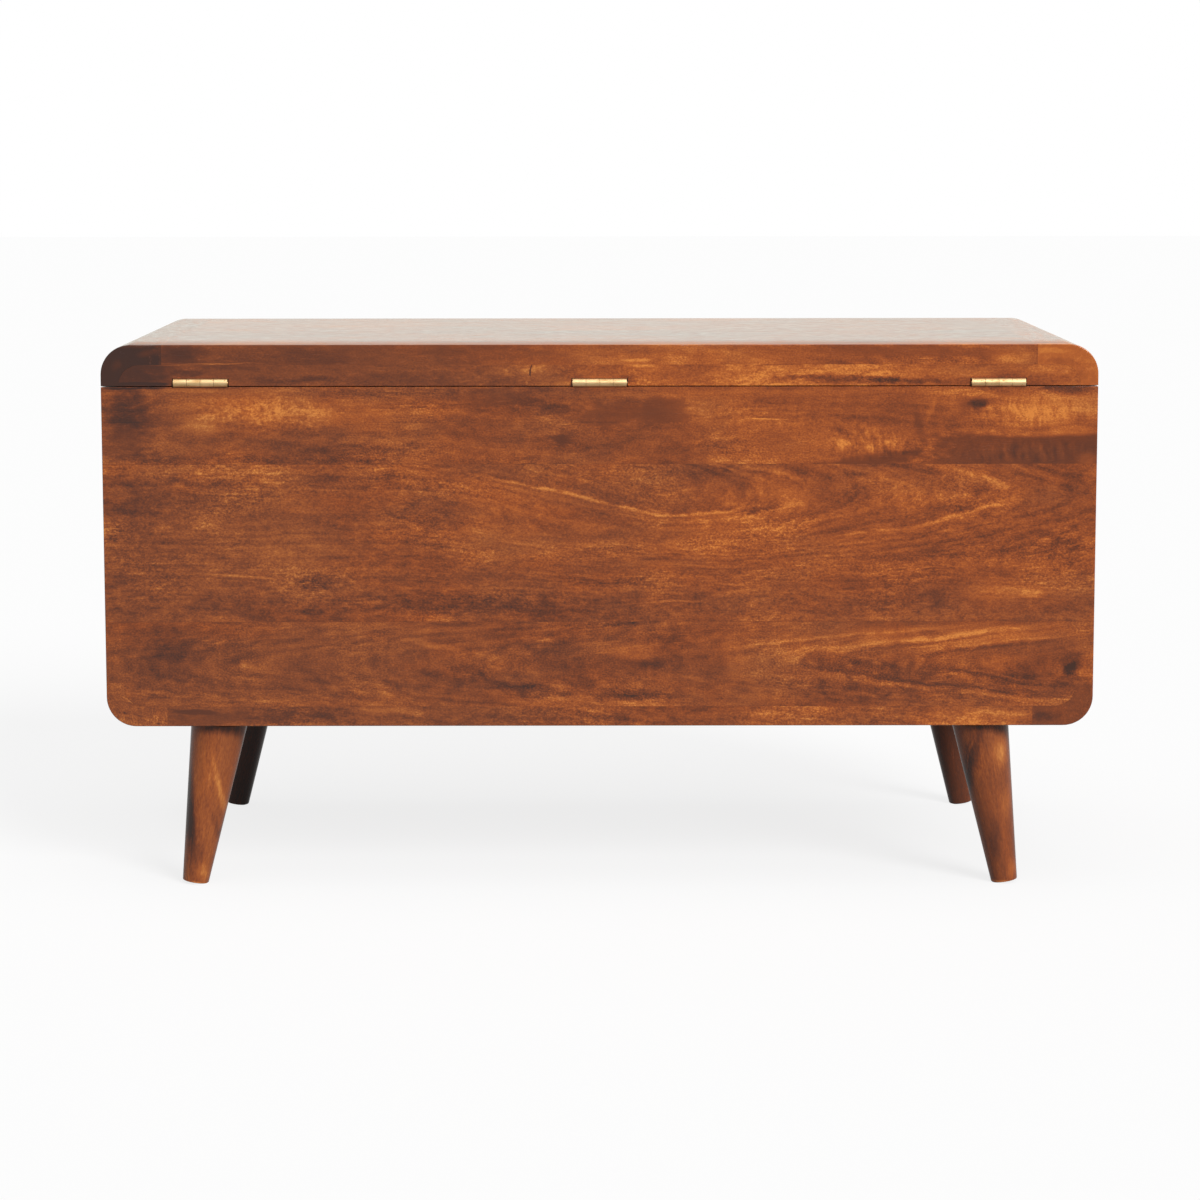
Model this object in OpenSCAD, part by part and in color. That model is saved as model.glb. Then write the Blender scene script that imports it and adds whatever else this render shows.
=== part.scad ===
// Blanket chest on four splayed legs, with a hinged lid and a sliding lid stay.
// Millimetres. The origin is on the floor, under the middle of the chest.
// +X is the right-hand side seen from the front, +Y is the back (hinge side), +Z is up.
// Left and right are always named as seen from the front.

/* [Overall size] */
// Width of the chest, left to right
chest_w = 900; // [800:10:1200]
// Depth of the chest, front to back
chest_d = 450; // [400:10:560]
// Height of the closed chest above the floor
chest_h = 500; // [470:5:620]
// Height of the underside of the box above the floor
leg_h = 152; // [110:1:180]
// Height of the lid, from the seam up to its top
lid_h = 38; // [36:1:60]
// Gap left by the saw between the box and the lid
seam_gap = 0.8; // [0.5:0.1:1.5]

/* [Boards] */
// Thickness of the lid top and of the bottom
board_t = 18; // [15:1:20]
// Thickness of the left and right sides
side_t = 16; // [14:1:22]
// Thickness of the front and back panels
panel_t = 18; // [16:1:24]
// Width of the lowest plank of the back panel
back_low_w = 78; // [60:1:110]
// Width of the second plank of the back panel
back_mid_w = 144; // [100:1:150]
// Width of the third plank of the back panel
back_high_w = 38; // [30:1:44]
// Width of each of the two lower planks of the front panel
front_plank_w = 98; // [80:1:110]
// Width of each of the two lower boards of a side
side_board_w = 90; // [60:1:100]

/* [Corner blocks] */
// Radius of the rounded outer edges of the box
corner_r = 27; // [22:1:34]
// Radius of the hollow inner edges of the corner blocks
inner_r = 18.5; // [16:0.5:21]
// Width of a corner block, measured in from the side of the chest
block_w = 55; // [48:1:75]
// Height of a lower corner block, measured up from the underside
block_h = 40; // [38:1:60]
// Diameter of the dowels that hold the boards to the corner blocks
dowel_d = 8; // [5:0.5:9]
// Length of the dowels
dowel_len = 34; // [24:1:38]

/* [Legs] */
// Diameter of a leg at its top
leg_top_d = 52; // [38:1:60]
// Diameter of a leg at its foot
foot_d = 24; // [20:1:34]
// Distance from the side of the chest to the middle of a leg at its top
leg_inset_x = 99; // [90:1:150]
// Distance from the front or back of the chest to the middle of a leg at its top
leg_inset_y = 36; // [32:1:80]
// How far a leg leans out sideways for each millimetre of its height
splay_x = 0.16; // [0.05:0.005:0.25]
// How far a leg leans out to the front or back for each millimetre of its height
splay_y = 0.03; // [0.01:0.005:0.2]
// Angle left between the cut top of a leg and the underside, open towards the middle
seat_angle = 4; // [0:0.5:5]
// Height of the small flat worn on the lowest point of a foot
foot_flat = 0.5; // [0.2:0.1:1]
// Diameter of the hanger bolt in a leg
bolt_d = 8; // [6:0.5:9]
// Depth of the hanger bolt in the leg
bolt_depth = 45; // [30:1:60]
// Outer diameter of the threaded insert that takes the bolt
insert_d = 12; // [11:0.5:14]
// Length of the threaded insert
insert_len = 11; // [8:1:12]

/* [Hinges] */
// Length of a hinge along the back
hinge_len = 49; // [38:1:76]
// Distance from the side of the chest to the middle of an outer hinge
hinge_inset = 90; // [75:1:160]
// Diameter of the hinge barrel
barrel_d = 7.4; // [7:0.2:8]
// Diameter of the hinge pin
pin_d = 3; // [2:0.1:3.2]
// Thickness of a hinge leaf
leaf_t = 1.6; // [1.6:0.1:2]
// Depth of a hinge leaf, measured in from the pin
leaf_reach = 14; // [12.5:0.5:15]
// Number of knuckles in the barrel
knuckles = 4; // [4:1:5]
// Distance between neighbouring screws in a leaf
leaf_screw_pitch = 17; // [12:0.5:17]
// Length of the open notch past each end of the barrel
notch_end = 1; // [1:0.5:4]

/* [Lid stay] */
// Angle that the lid opens to
lid_open = 100; // [85:1:110]
// Distance from the hinge pins to the stay's pivot, and also to its slide post
stay_reach = 150; // [120:1:170]
// Height of the stay's pivot above the hinge pins
pivot_rise = 7; // [6.6:0.1:7.4]
// Angle below the hinge pins at which the slide post stands
post_angle = 20; // [17:1:26]
// Width of the slotted arm
arm_w = 14; // [12:0.5:14]
// Thickness of the slotted arm
arm_t = 2.5; // [2:0.1:3]
// Diameter of the shoulder that slides in the slot
shoulder_d = 6; // [5:0.5:7]
// Diameter of the pivot rivet
rivet_d = 5; // [4:0.5:6]
// Thickness of the lid bracket
bracket_t = 2.5; // [2:0.1:3]

/* [Screws] */
// Shank diameter of the small wood screws
screw_d = 3; // [2.5:0.1:3.4]
// Length of the small wood screws, head included
screw_len = 12; // [9:0.5:12]

/* [Hidden] */

$fn = 96;
wood = "#8e4e31";
end_wood = "#7a4029";
pale_wood = "#c89b63";
brass = "#c9a05c";
steel = "#9a9a98";
over = 1;                // how far a cutting shape runs past the surface that it opens
hole_spare = 1;          // depth of a blind hole past the end of what sits in it
fit = 0.05;              // radial clearance of a pin, screw or dowel in its hole
play = 0.3;              // clearance between pieces that slide past each other
boards = 4;              // planks across the lid top and across the bottom

// Box
seam_z = chest_h - lid_h;
lid_low = seam_z + seam_gap;
floor_z = leg_h + board_t;
ceiling_z = chest_h - board_t;
half_w = chest_w / 2;
half_d = chest_d / 2;
wall_x = half_w - side_t;
block_x = half_w - block_w;
board_w = chest_d / boards;
side_low = leg_h + block_h;
panel_corner_r = inner_r + play;
back_joints = [
    floor_z,
    floor_z + back_low_w,
    floor_z + back_low_w + back_mid_w,
    floor_z + back_low_w + back_mid_w + back_high_w,
    seam_z
];
front_joints = [floor_z, floor_z + front_plank_w, floor_z + 2 * front_plank_w, seam_z];
side_joints = [side_low, side_low + side_board_w, side_low + 2 * side_board_w, seam_z];
dowel_hole_len = dowel_len + 2 * hole_spare;

// Legs: measured along the leg from the middle of its top
lean = leg_h * norm([splay_x, splay_y]);
leg_angle = atan2(lean, leg_h);
leg_len = (leg_h + foot_flat - foot_d / 2 * sin(leg_angle)) / cos(leg_angle);
leg_taper = (leg_top_d - foot_d) / 2 / leg_len;
leg_spare = leg_top_d / 2;    // extra length above the top, cut off at the underside
insert_seat = 2.2;            // distance from the underside to the insert, along the bolt

// Hinges: the pin axis lies in the plane of the back, and the barrel stands on the box
barrel_r = barrel_d / 2;
hinge_y = half_d;
hinge_z = seam_z + barrel_r;
hinge_x = half_w - hinge_inset;
knuckle_w = hinge_len / knuckles;
box_leaf_z = -barrel_r;
lid_leaf_z = barrel_r - leaf_t;
notch_r = barrel_r + play;
leaf_screw_y = hinge_y - (notch_r + leaf_reach) / 2;
head_d = 2 * screw_d;
head_h = screw_d / 2;

// Lid stay: the pivot and the post stand equally far from the hinge pins, so the arm
// always turns by half the angle of the lid
pivot_angle = asin(pivot_rise / stay_reach);
pivot_y = hinge_y - stay_reach * cos(pivot_angle);
pivot_z = hinge_z + pivot_rise;
post_y = hinge_y - stay_reach * cos(post_angle);
post_z = hinge_z - stay_reach * sin(post_angle);
slot_start = 2 * stay_reach * sin((pivot_angle + post_angle) / 2);
slot_end = 2 * stay_reach * sin((pivot_angle + post_angle + lid_open) / 2);
slot_r = shoulder_d / 2 + play;
arm_tip = slot_end + slot_r;
ear_x = wall_x - inner_r;
arm_x = ear_x + play;
post_x = arm_x + arm_t + play;
shoulder_head_t = 2;
post_flange_t = 2;
thread_d = shoulder_d * 0.7;
thread_depth = side_t - 4;    // leaves the outside of the chest whole
bracket_len = 34;
bracket_screw_pitch = 20;
rivet_head_r = rivet_d * 0.8;
rivet_head_t = 1.5;

// Lays an outline drawn in x and z as a solid between two depths
module along_depth(y0, y1) {
    translate([0, y1, 0]) rotate([90, 0, 0]) linear_extrude(height = y1 - y0) children();
}

// Lays an outline drawn in y and z as a solid between two widths
module along_width(x0, x1) {
    translate([x0, 0, 0]) rotate([90, 0, 90]) linear_extrude(height = x1 - x0) children();
}

// Block between two opposite corners
module block(low, high) {
    translate(low) cube(high - low);
}

// Round bar along the width of the chest
module rod_x(x0, x1, d) {
    translate([x0, 0, 0]) rotate([0, 90, 0]) cylinder(h = x1 - x0, d = d);
}

// Draws its children on the right, and mirrored on the left
module both_sides() {
    children();
    mirror([1, 0, 0]) children();
}

// Places its children at each of the three hinges
module at_hinge(number) {
    translate([(number - 2) * hinge_x, hinge_y, hinge_z]) children();
}

module at_hinges() {
    for (number = [1 : 3]) at_hinge(number) children();
}

// Corner outline of the frame: rounded outside, hollow inside, corner at the origin
module corner_outline(w, h) {
    difference() {
        intersection() {
            square([w, h]);
            union() {
                translate([corner_r, 0]) square([w, h]);
                translate([0, corner_r]) square([w, h]);
                translate([corner_r, corner_r]) circle(r = corner_r);
            }
        }
        translate([side_t + inner_r, board_t]) square([w, h]);
        translate([side_t, board_t + inner_r]) square([w, h]);
        translate([side_t + inner_r, board_t + inner_r]) circle(r = inner_r);
    }
}

// Outline of the panels: they fill the frame between the corner blocks, from the bottom up to
// the lid top, and cover the ends of the side boards between the lower blocks and the seam
module panel_outline() {
    translate([-half_w, side_low]) square([chest_w, seam_z - side_low]);
    for (x = [-1, 1], z = [floor_z + panel_corner_r, ceiling_z - panel_corner_r])
        translate([x * (wall_x - panel_corner_r), z]) circle(r = panel_corner_r);
    translate([-wall_x, floor_z + panel_corner_r])
        square([2 * wall_x, ceiling_z - floor_z - 2 * panel_corner_r]);
    translate([panel_corner_r - wall_x, floor_z])
        square([2 * (wall_x - panel_corner_r), ceiling_z - floor_z]);
}

// One plank of a panel, between two heights, with its outer face at the front or back
module panel_plank(side, z0, z1) {
    inner = side * (half_d - panel_t);
    outer = side * half_d;
    along_depth(min(inner, outer), max(inner, outer)) intersection() {
        panel_outline();
        translate([-half_w, z0]) square([chest_w, z1 - z0]);
    }
}

// Holes across one joint between the boards and a corner block, at a given height
module dowels_at(z, d, length) {
    for (i = [0 : boards - 1])
        translate([0, (i + 0.5) * board_w - half_d, z])
            both_sides() rod_x(block_x - length / 2, block_x + length / 2, d);
}

module board_across(number, z0) {
    y0 = (number - 1) * board_w - half_d;
    block([-block_x, y0, z0], [block_x, y0 + board_w, z0 + board_t]);
}

// Legs

// Draws its children at a leg, with x pointing out along its lean and the underside at zero
module at_leg(side_x, side_y) {
    translate([side_x * (half_w - leg_inset_x), side_y * (half_d - leg_inset_y), leg_h])
        rotate([0, 0, atan2(side_y * splay_y, side_x * splay_x)])
            children();
}

module at_legs() {
    for (side_x = [-1, 1], side_y = [-1, 1]) at_leg(side_x, side_y) children();
}

// Bar along a leg, from one distance down its axis to another
module along_leg(from, to, d) {
    rotate([0, 180 - leg_angle, 0]) translate([0, 0, from]) cylinder(h = to - from, d = d);
}

module leg(side_x, side_y) {
    color(wood) at_leg(side_x, side_y) difference() {
        rotate([0, 180 - leg_angle, 0]) translate([0, 0, -leg_spare]) cylinder(
            h = leg_len + leg_spare,
            d1 = leg_top_d + 2 * leg_taper * leg_spare,
            d2 = foot_d);
        // the top is cut close to level and touches the underside on its outer edge
        translate([leg_top_d / 2, 0, 0]) rotate([0, -seat_angle, 0])
            block([-2 * leg_top_d, -leg_top_d, 0], [leg_top_d, leg_top_d, 2 * leg_top_d]);
        // flat on the floor under the lowest point of the foot
        block([-leg_h, -leg_h, -2 * leg_h], [2 * leg_h, leg_h, -leg_h]);
        along_leg(-leg_spare, bolt_depth + hole_spare, bolt_d + 2 * fit);
    }
}

module leg_bolts() {
    color(steel) at_legs() along_leg(-insert_seat - insert_len, bolt_depth, bolt_d);
}

module leg_inserts() {
    color(brass) at_legs() difference() {
        along_leg(-insert_seat - insert_len, -insert_seat, insert_d);
        along_leg(-insert_seat - insert_len - over, over, bolt_d + 2 * fit);
    }
}

// Box

module bottom_board(number) {
    color(wood) difference() {
        board_across(number, leg_h);
        dowels_at(leg_h + board_t / 2, dowel_d + 2 * fit, dowel_hole_len);
        at_legs() along_leg(-insert_seat - insert_len, insert_seat, insert_d + 2 * fit);
    }
}

module lower_corner_block(side) {
    color(end_wood) difference() {
        mirror([side > 0 ? 1 : 0, 0, 0]) translate([-half_w, 0, leg_h])
            along_depth(-half_d, half_d) corner_outline(block_w, block_h);
        dowels_at(leg_h + board_t / 2, dowel_d + 2 * fit, dowel_hole_len);
    }
}

module side_board(side, number) {
    z0 = side_joints[number - 1];
    z1 = side_joints[number];
    inner = side * wall_x;
    outer = side * half_w;
    end_y = half_d - panel_t;
    color(wood) difference() {
        block([min(inner, outer), -end_y, z0], [max(inner, outer), end_y, z1]);
        translate([0, post_y, post_z])
            rod_x(wall_x - over, wall_x + thread_depth + hole_spare, thread_d + 2 * fit);
    }
}

module back_plank(number) {
    color(wood) difference() {
        panel_plank(1, back_joints[number - 1], back_joints[number]);
        at_hinges() {
            barrel_notch();
            box_screw_holes();
        }
    }
}

module front_plank(number) {
    color(wood) panel_plank(-1, front_joints[number - 1], front_joints[number]);
}

module box_dowels() {
    color(pale_wood) dowels_at(leg_h + board_t / 2, dowel_d, dowel_len);
}

// Lid

module lid_board(number) {
    color(wood) difference() {
        board_across(number, ceiling_z);
        dowels_at(ceiling_z + board_t / 2, dowel_d + 2 * fit, dowel_hole_len);
    }
}

module lid_corner_block(side) {
    color(end_wood) difference() {
        mirror([side > 0 ? 1 : 0, 0, 0]) translate([-half_w, 0, chest_h]) mirror([0, 0, 1])
            along_depth(-half_d, half_d) corner_outline(block_w, chest_h - lid_low);
        dowels_at(ceiling_z + board_t / 2, dowel_d + 2 * fit, dowel_hole_len);
        bracket_screw_holes();
    }
}

module lid_rail(side) {
    color(wood) difference() {
        panel_plank(side, lid_low, ceiling_z);
        at_hinges() {
            leaf_mortise();
            barrel_notch();
            lid_screw_holes();
        }
    }
}

module lid_dowels() {
    color(pale_wood) dowels_at(ceiling_z + board_t / 2, dowel_d, dowel_len);
}

// Hinges: drawn with the pin axis along x through the origin. Both leaves are tangent to the
// barrel: one lies on top of the box, and the whole hinge is let into the lid.

// Hollow in the wood that clears the barrel
module barrel_notch() {
    half_len = hinge_len / 2 + notch_end;
    block([-half_len, -notch_r, -notch_r], [half_len, notch_r, notch_r]);
}

// Plate of a leaf above a given height: it stops short of the other leaf's knuckles
module leaf_plate(z0) {
    block([-hinge_len / 2, -leaf_reach, z0], [hinge_len / 2, -notch_r, z0 + leaf_t]);
}

// One leaf: its plate, its share of the knuckles, and the bore for the pin
module leaf(z0, first_knuckle) {
    difference() {
        union() {
            leaf_plate(z0);
            for (k = [first_knuckle : 2 : knuckles - 1]) {
                x0 = k * knuckle_w - hinge_len / 2 + play / 2;
                x1 = x0 + knuckle_w - play;
                rod_x(x0, x1, barrel_d);
                block([x0, -notch_r - over, z0], [x1, 0, z0 + leaf_t]);
            }
        }
        rod_x(-hinge_len, hinge_len, pin_d + 2 * fit);
    }
}

// Hollow in the lid for both leaves
module leaf_mortise() {
    block([-hinge_len / 2 - fit, -leaf_reach - fit, -barrel_r], [hinge_len / 2 + fit, over, barrel_r]);
}

// Countersunk wood screw with its head level with z = 0, pointing down
module screw(spare, length) {
    translate([0, 0, -head_h]) cylinder(h = head_h, d1 = screw_d + spare, d2 = head_d + spare);
    translate([0, 0, -length]) cylinder(h = length, d = screw_d + spare);
}

// Cross recess pressed into a screw head
module cross_recess() {
    for (turn = [0, 90])
        rotate([0, 0, turn])
            block([-head_d / 3, -screw_d / 10, -head_h / 2], [head_d / 3, screw_d / 10, over]);
}

module driven_screw(length) {
    difference() {
        screw(0, length);
        cross_recess();
    }
}

// Places its children at the screws of one leaf
module at_leaf_screws() {
    for (i = [-1 : 1]) translate([i * leaf_screw_pitch, leaf_screw_y - hinge_y, 0]) children();
}

module box_screw_holes() {
    at_leaf_screws() translate([0, 0, box_leaf_z + leaf_t]) screw(2 * fit, screw_len + hole_spare);
}

module lid_screw_holes() {
    at_leaf_screws() translate([0, 0, lid_leaf_z]) mirror([0, 0, 1]) screw(2 * fit, screw_len + hole_spare);
}

module box_leaf(number) {
    color(brass) at_hinge(number) difference() {
        leaf(box_leaf_z, 0);
        box_screw_holes();
    }
}

module lid_leaf(number) {
    color(brass) at_hinge(number) difference() {
        leaf(lid_leaf_z, 1);
        lid_screw_holes();
    }
}

module hinge_pin(number) {
    color(brass) at_hinge(number) rod_x(-hinge_len / 2 - play, hinge_len / 2 + play, pin_d);
}

module box_hinge_screws() {
    color(brass) at_hinges() at_leaf_screws()
        translate([0, 0, box_leaf_z + leaf_t]) driven_screw(screw_len);
}

module lid_hinge_screws() {
    color(brass) at_hinges() at_leaf_screws()
        translate([0, 0, lid_leaf_z]) mirror([0, 0, 1]) driven_screw(screw_len);
}

// Lid stay

// Slotted arm: it hangs on the rivet and slides over the shoulder screw
module stay_arm() {
    color(brass) translate([0, pivot_y, pivot_z]) difference() {
        along_width(arm_x, arm_x + arm_t) rotate(atan2(post_z - pivot_z, post_y - pivot_y))
            difference() {
                union() {
                    circle(d = arm_w);
                    translate([0, -arm_w / 2]) square([arm_tip, arm_w]);
                    translate([arm_tip, 0]) circle(d = arm_w);
                }
                translate([slot_start - play, 0]) circle(r = slot_r);
                translate([slot_end, 0]) circle(r = slot_r);
                translate([slot_start - play, -slot_r])
                    square([slot_end - slot_start + play, 2 * slot_r]);
            }
        rod_x(arm_x - over, arm_x + arm_t + over, rivet_d + 2 * fit);
    }
}

module stay_post() {
    neck_d = shoulder_d * 1.7;
    flange_d = shoulder_d * 3;
    color(brass) translate([0, post_y, post_z]) difference() {
        union() {
            rod_x(post_x, wall_x, neck_d);
            rod_x(wall_x - post_flange_t, wall_x, flange_d);
        }
        rod_x(post_x - over, wall_x + over, thread_d + 2 * fit);
    }
}

module stay_shoulder_screw() {
    head_x = arm_x - play;
    head_w = shoulder_d * 2;
    color(brass) translate([0, post_y, post_z]) difference() {
        union() {
            rod_x(head_x - shoulder_head_t, head_x, head_w);
            rod_x(head_x, post_x, shoulder_d);
            rod_x(post_x, wall_x + thread_depth, thread_d);
        }
        block([head_x - shoulder_head_t - over, -head_w, -head_w / 16],
              [head_x - shoulder_head_t / 2, head_w, head_w / 16]);
    }
}

// Angle bracket under the lid: a plate held by two screws and an ear for the rivet
module stay_lid_bracket() {
    ear_r = arm_w / 2 - play;
    plate_w = ear_x - block_x - bracket_t;
    color(brass) difference() {
        union() {
            translate([0, pivot_y, 0]) block(
                [ear_x - plate_w, -bracket_len / 2, ceiling_z - bracket_t],
                [ear_x, bracket_len / 2, ceiling_z]);
            along_width(ear_x - bracket_t, ear_x) translate([pivot_y, 0]) {
                translate([0, pivot_z]) circle(r = ear_r);
                translate([-ear_r, pivot_z]) square([2 * ear_r, ceiling_z - bracket_t - pivot_z]);
            }
        }
        translate([0, pivot_y, pivot_z]) rod_x(ear_x - 2 * bracket_t, ear_x + over, rivet_d + 2 * fit);
        bracket_screw_holes();
    }
}

// Screws of the lid bracket, heads level with the underside of its plate
module at_bracket_screws() {
    screw_x = (block_x + ear_x - bracket_t) / 2;
    for (side = [-1, 1])
        translate([screw_x, pivot_y + side * bracket_screw_pitch / 2, ceiling_z - bracket_t])
            mirror([0, 0, 1]) children();
}

module bracket_screw_holes() {
    at_bracket_screws() screw(2 * fit, screw_len + hole_spare);
}

module stay_bracket_screws() {
    color(brass) at_bracket_screws() driven_screw(screw_len);
}

module stay_rivet() {
    outer = arm_x + arm_t + play;
    inner = ear_x - bracket_t;
    color(brass) translate([0, pivot_y, pivot_z]) {
        rod_x(inner, outer, rivet_d);
        rod_x(outer, outer + rivet_head_t, 2 * rivet_head_r);
        rod_x(inner - rivet_head_t, inner, 2 * rivet_head_r);
    }
}

bottom_board(1);  // bottom_board_1
bottom_board(2);  // bottom_board_2
bottom_board(3);  // bottom_board_3
bottom_board(4);  // bottom_board_4
lower_corner_block(-1);  // lower_left_corner_block
lower_corner_block(1);  // lower_right_corner_block
side_board(-1, 1);  // left_side_board_low
side_board(-1, 2);  // left_side_board_middle
side_board(-1, 3);  // left_side_board_high
side_board(1, 1);  // right_side_board_low
side_board(1, 2);  // right_side_board_middle
side_board(1, 3);  // right_side_board_high
back_plank(1);  // back_plank_1
back_plank(2);  // back_plank_2
back_plank(3);  // back_plank_3
back_plank(4);  // back_plank_4
front_plank(1);  // front_plank_low
front_plank(2);  // front_plank_middle
front_plank(3);  // front_plank_high
leg(-1, -1);  // front_left_leg
leg(1, -1);  // front_right_leg
leg(-1, 1);  // back_left_leg
leg(1, 1);  // back_right_leg
leg_bolts();
leg_inserts();
box_dowels();
box_leaf(1);  // left_hinge_box_leaf
box_leaf(2);  // middle_hinge_box_leaf
box_leaf(3);  // right_hinge_box_leaf
hinge_pin(1);  // left_hinge_pin
hinge_pin(2);  // middle_hinge_pin
hinge_pin(3);  // right_hinge_pin
box_hinge_screws();
stay_post();
stay_shoulder_screw();
lid_board(1);  // lid_board_1
lid_board(2);  // lid_board_2
lid_board(3);  // lid_board_3
lid_board(4);  // lid_board_4
lid_corner_block(-1);  // lid_left_corner_block
lid_corner_block(1);  // lid_right_corner_block
lid_rail(1);  // lid_back_rail
lid_rail(-1);  // lid_front_rail
lid_dowels();
lid_leaf(1);  // left_hinge_lid_leaf
lid_leaf(2);  // middle_hinge_lid_leaf
lid_leaf(3);  // right_hinge_lid_leaf
lid_hinge_screws();
stay_lid_bracket();
stay_bracket_screws();
stay_rivet();
stay_arm();
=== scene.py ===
import math
import random

import bpy
from bpy.props import FloatProperty, FloatVectorProperty, PointerProperty
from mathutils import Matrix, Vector


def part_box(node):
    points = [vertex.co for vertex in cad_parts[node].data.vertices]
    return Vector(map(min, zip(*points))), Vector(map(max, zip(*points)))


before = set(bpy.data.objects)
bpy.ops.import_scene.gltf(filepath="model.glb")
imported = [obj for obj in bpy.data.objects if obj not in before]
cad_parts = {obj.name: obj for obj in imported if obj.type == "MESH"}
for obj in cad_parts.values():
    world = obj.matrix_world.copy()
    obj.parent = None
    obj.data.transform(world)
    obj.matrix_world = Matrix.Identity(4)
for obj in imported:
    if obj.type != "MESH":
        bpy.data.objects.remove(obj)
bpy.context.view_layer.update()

bl_info = {
    "name": "Blanket chest finishes",
    "version": (1, 0, 0),
    "blender": (4, 5, 0),
    "location": "3D View > Sidebar > Chest",
    "description": "Stained wood, brass, light and camera for a blanket chest",
    "category": "Material",
}

# Lengths are in metres. The chest stands on z = 0, its hinges are on the +Y side,
# and left and right are as seen from the front.
MM = 0.001
HALF_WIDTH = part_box("lower_right_corner_block")[1].x
HALF_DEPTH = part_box("lid_back_rail")[1].y
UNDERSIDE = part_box("bottom_board_1")[0].z
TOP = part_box("lid_board_1")[1].z
SEAM_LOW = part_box("back_plank_4")[1].z
SEAM_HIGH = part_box("lid_back_rail")[0].z

# Axes as places in a vector
X, Y, Z = range(3)


def linear(code):
    """Turns a colour written as six hex digits into Blender's linear values."""
    parts = [int(code[i:i + 2], 16) / 255 for i in (0, 2, 4)]
    return [c / 12.92 if c <= 0.04045 else ((c + 0.055) / 1.055) ** 2.4 for c in parts]


def colour_property(name, description, code):
    """A colour that a user can change, with its default written as hex digits."""
    return FloatVectorProperty(
        name=name, description=description, default=linear(code),
        subtype="COLOR", size=3, min=0, max=1)


class ChestWood(bpy.types.PropertyGroup):
    """Colours and finish of the wood."""
    charcoal: colour_property("Charcoal", "Darkest stain, in scorched and heart wood", "40271F")
    deep: colour_property("Deep", "Dark stain in the late wood", "66341F")
    middle: colour_property("Middle", "Usual stain of the boards", "8A4623")
    light: colour_property("Light", "Stain over the early wood", "A85A29")
    gold: colour_property("Gold", "Palest streaks and rubbed edges", "D2833E")
    beech: colour_property("Beech", "Unstained wood of the dowels", "C89B63")
    gloss: FloatProperty(
        name="Roughness", description="Roughness of the satin lacquer",
        default=0.22, min=0.05, max=1, subtype="FACTOR")
    ease: FloatProperty(
        name="Eased edge", description="Width of the eased outer edges of the chest",
        default=0.7 * MM, min=0.2 * MM, max=3 * MM, subtype="DISTANCE", unit="LENGTH")
    corner_radius: FloatProperty(
        name="Corner radius", description="Radius of the rounded corners of the chest",
        default=27 * MM, min=5 * MM, max=60 * MM, subtype="DISTANCE", unit="LENGTH")


class ChestMetal(bpy.types.PropertyGroup):
    """Colours of the hinges, the lid stay and the leg bolts."""
    brass: colour_property("Brass", "Clean brass", "EAC794")
    tarnish: colour_property("Tarnish", "Aged brass", "A67B42")
    steel: colour_property("Steel", "Zinc plated steel", "A9AAA8")


class ChestStage(bpy.types.PropertyGroup):
    """Floor, lamps and camera."""
    floor: colour_property("Floor", "Colour of the studio floor", "F4F4F4")
    key: FloatProperty(
        name="Key lamp", description="Strength of the lamp on the hinge side",
        default=2.95, min=0, max=20)
    overhead: FloatProperty(
        name="Overhead lamp", description="Strength of the soft lamp from above",
        default=1.0, min=0, max=20)
    ambient: FloatProperty(
        name="Ambient", description="Strength of the light from all around",
        default=0.24, min=0, max=5)
    lens: FloatProperty(
        name="Lens", description="Focal length on a 36 mm wide sensor, in millimetres",
        default=105.96, min=20, max=300)


# Node trees

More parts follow.
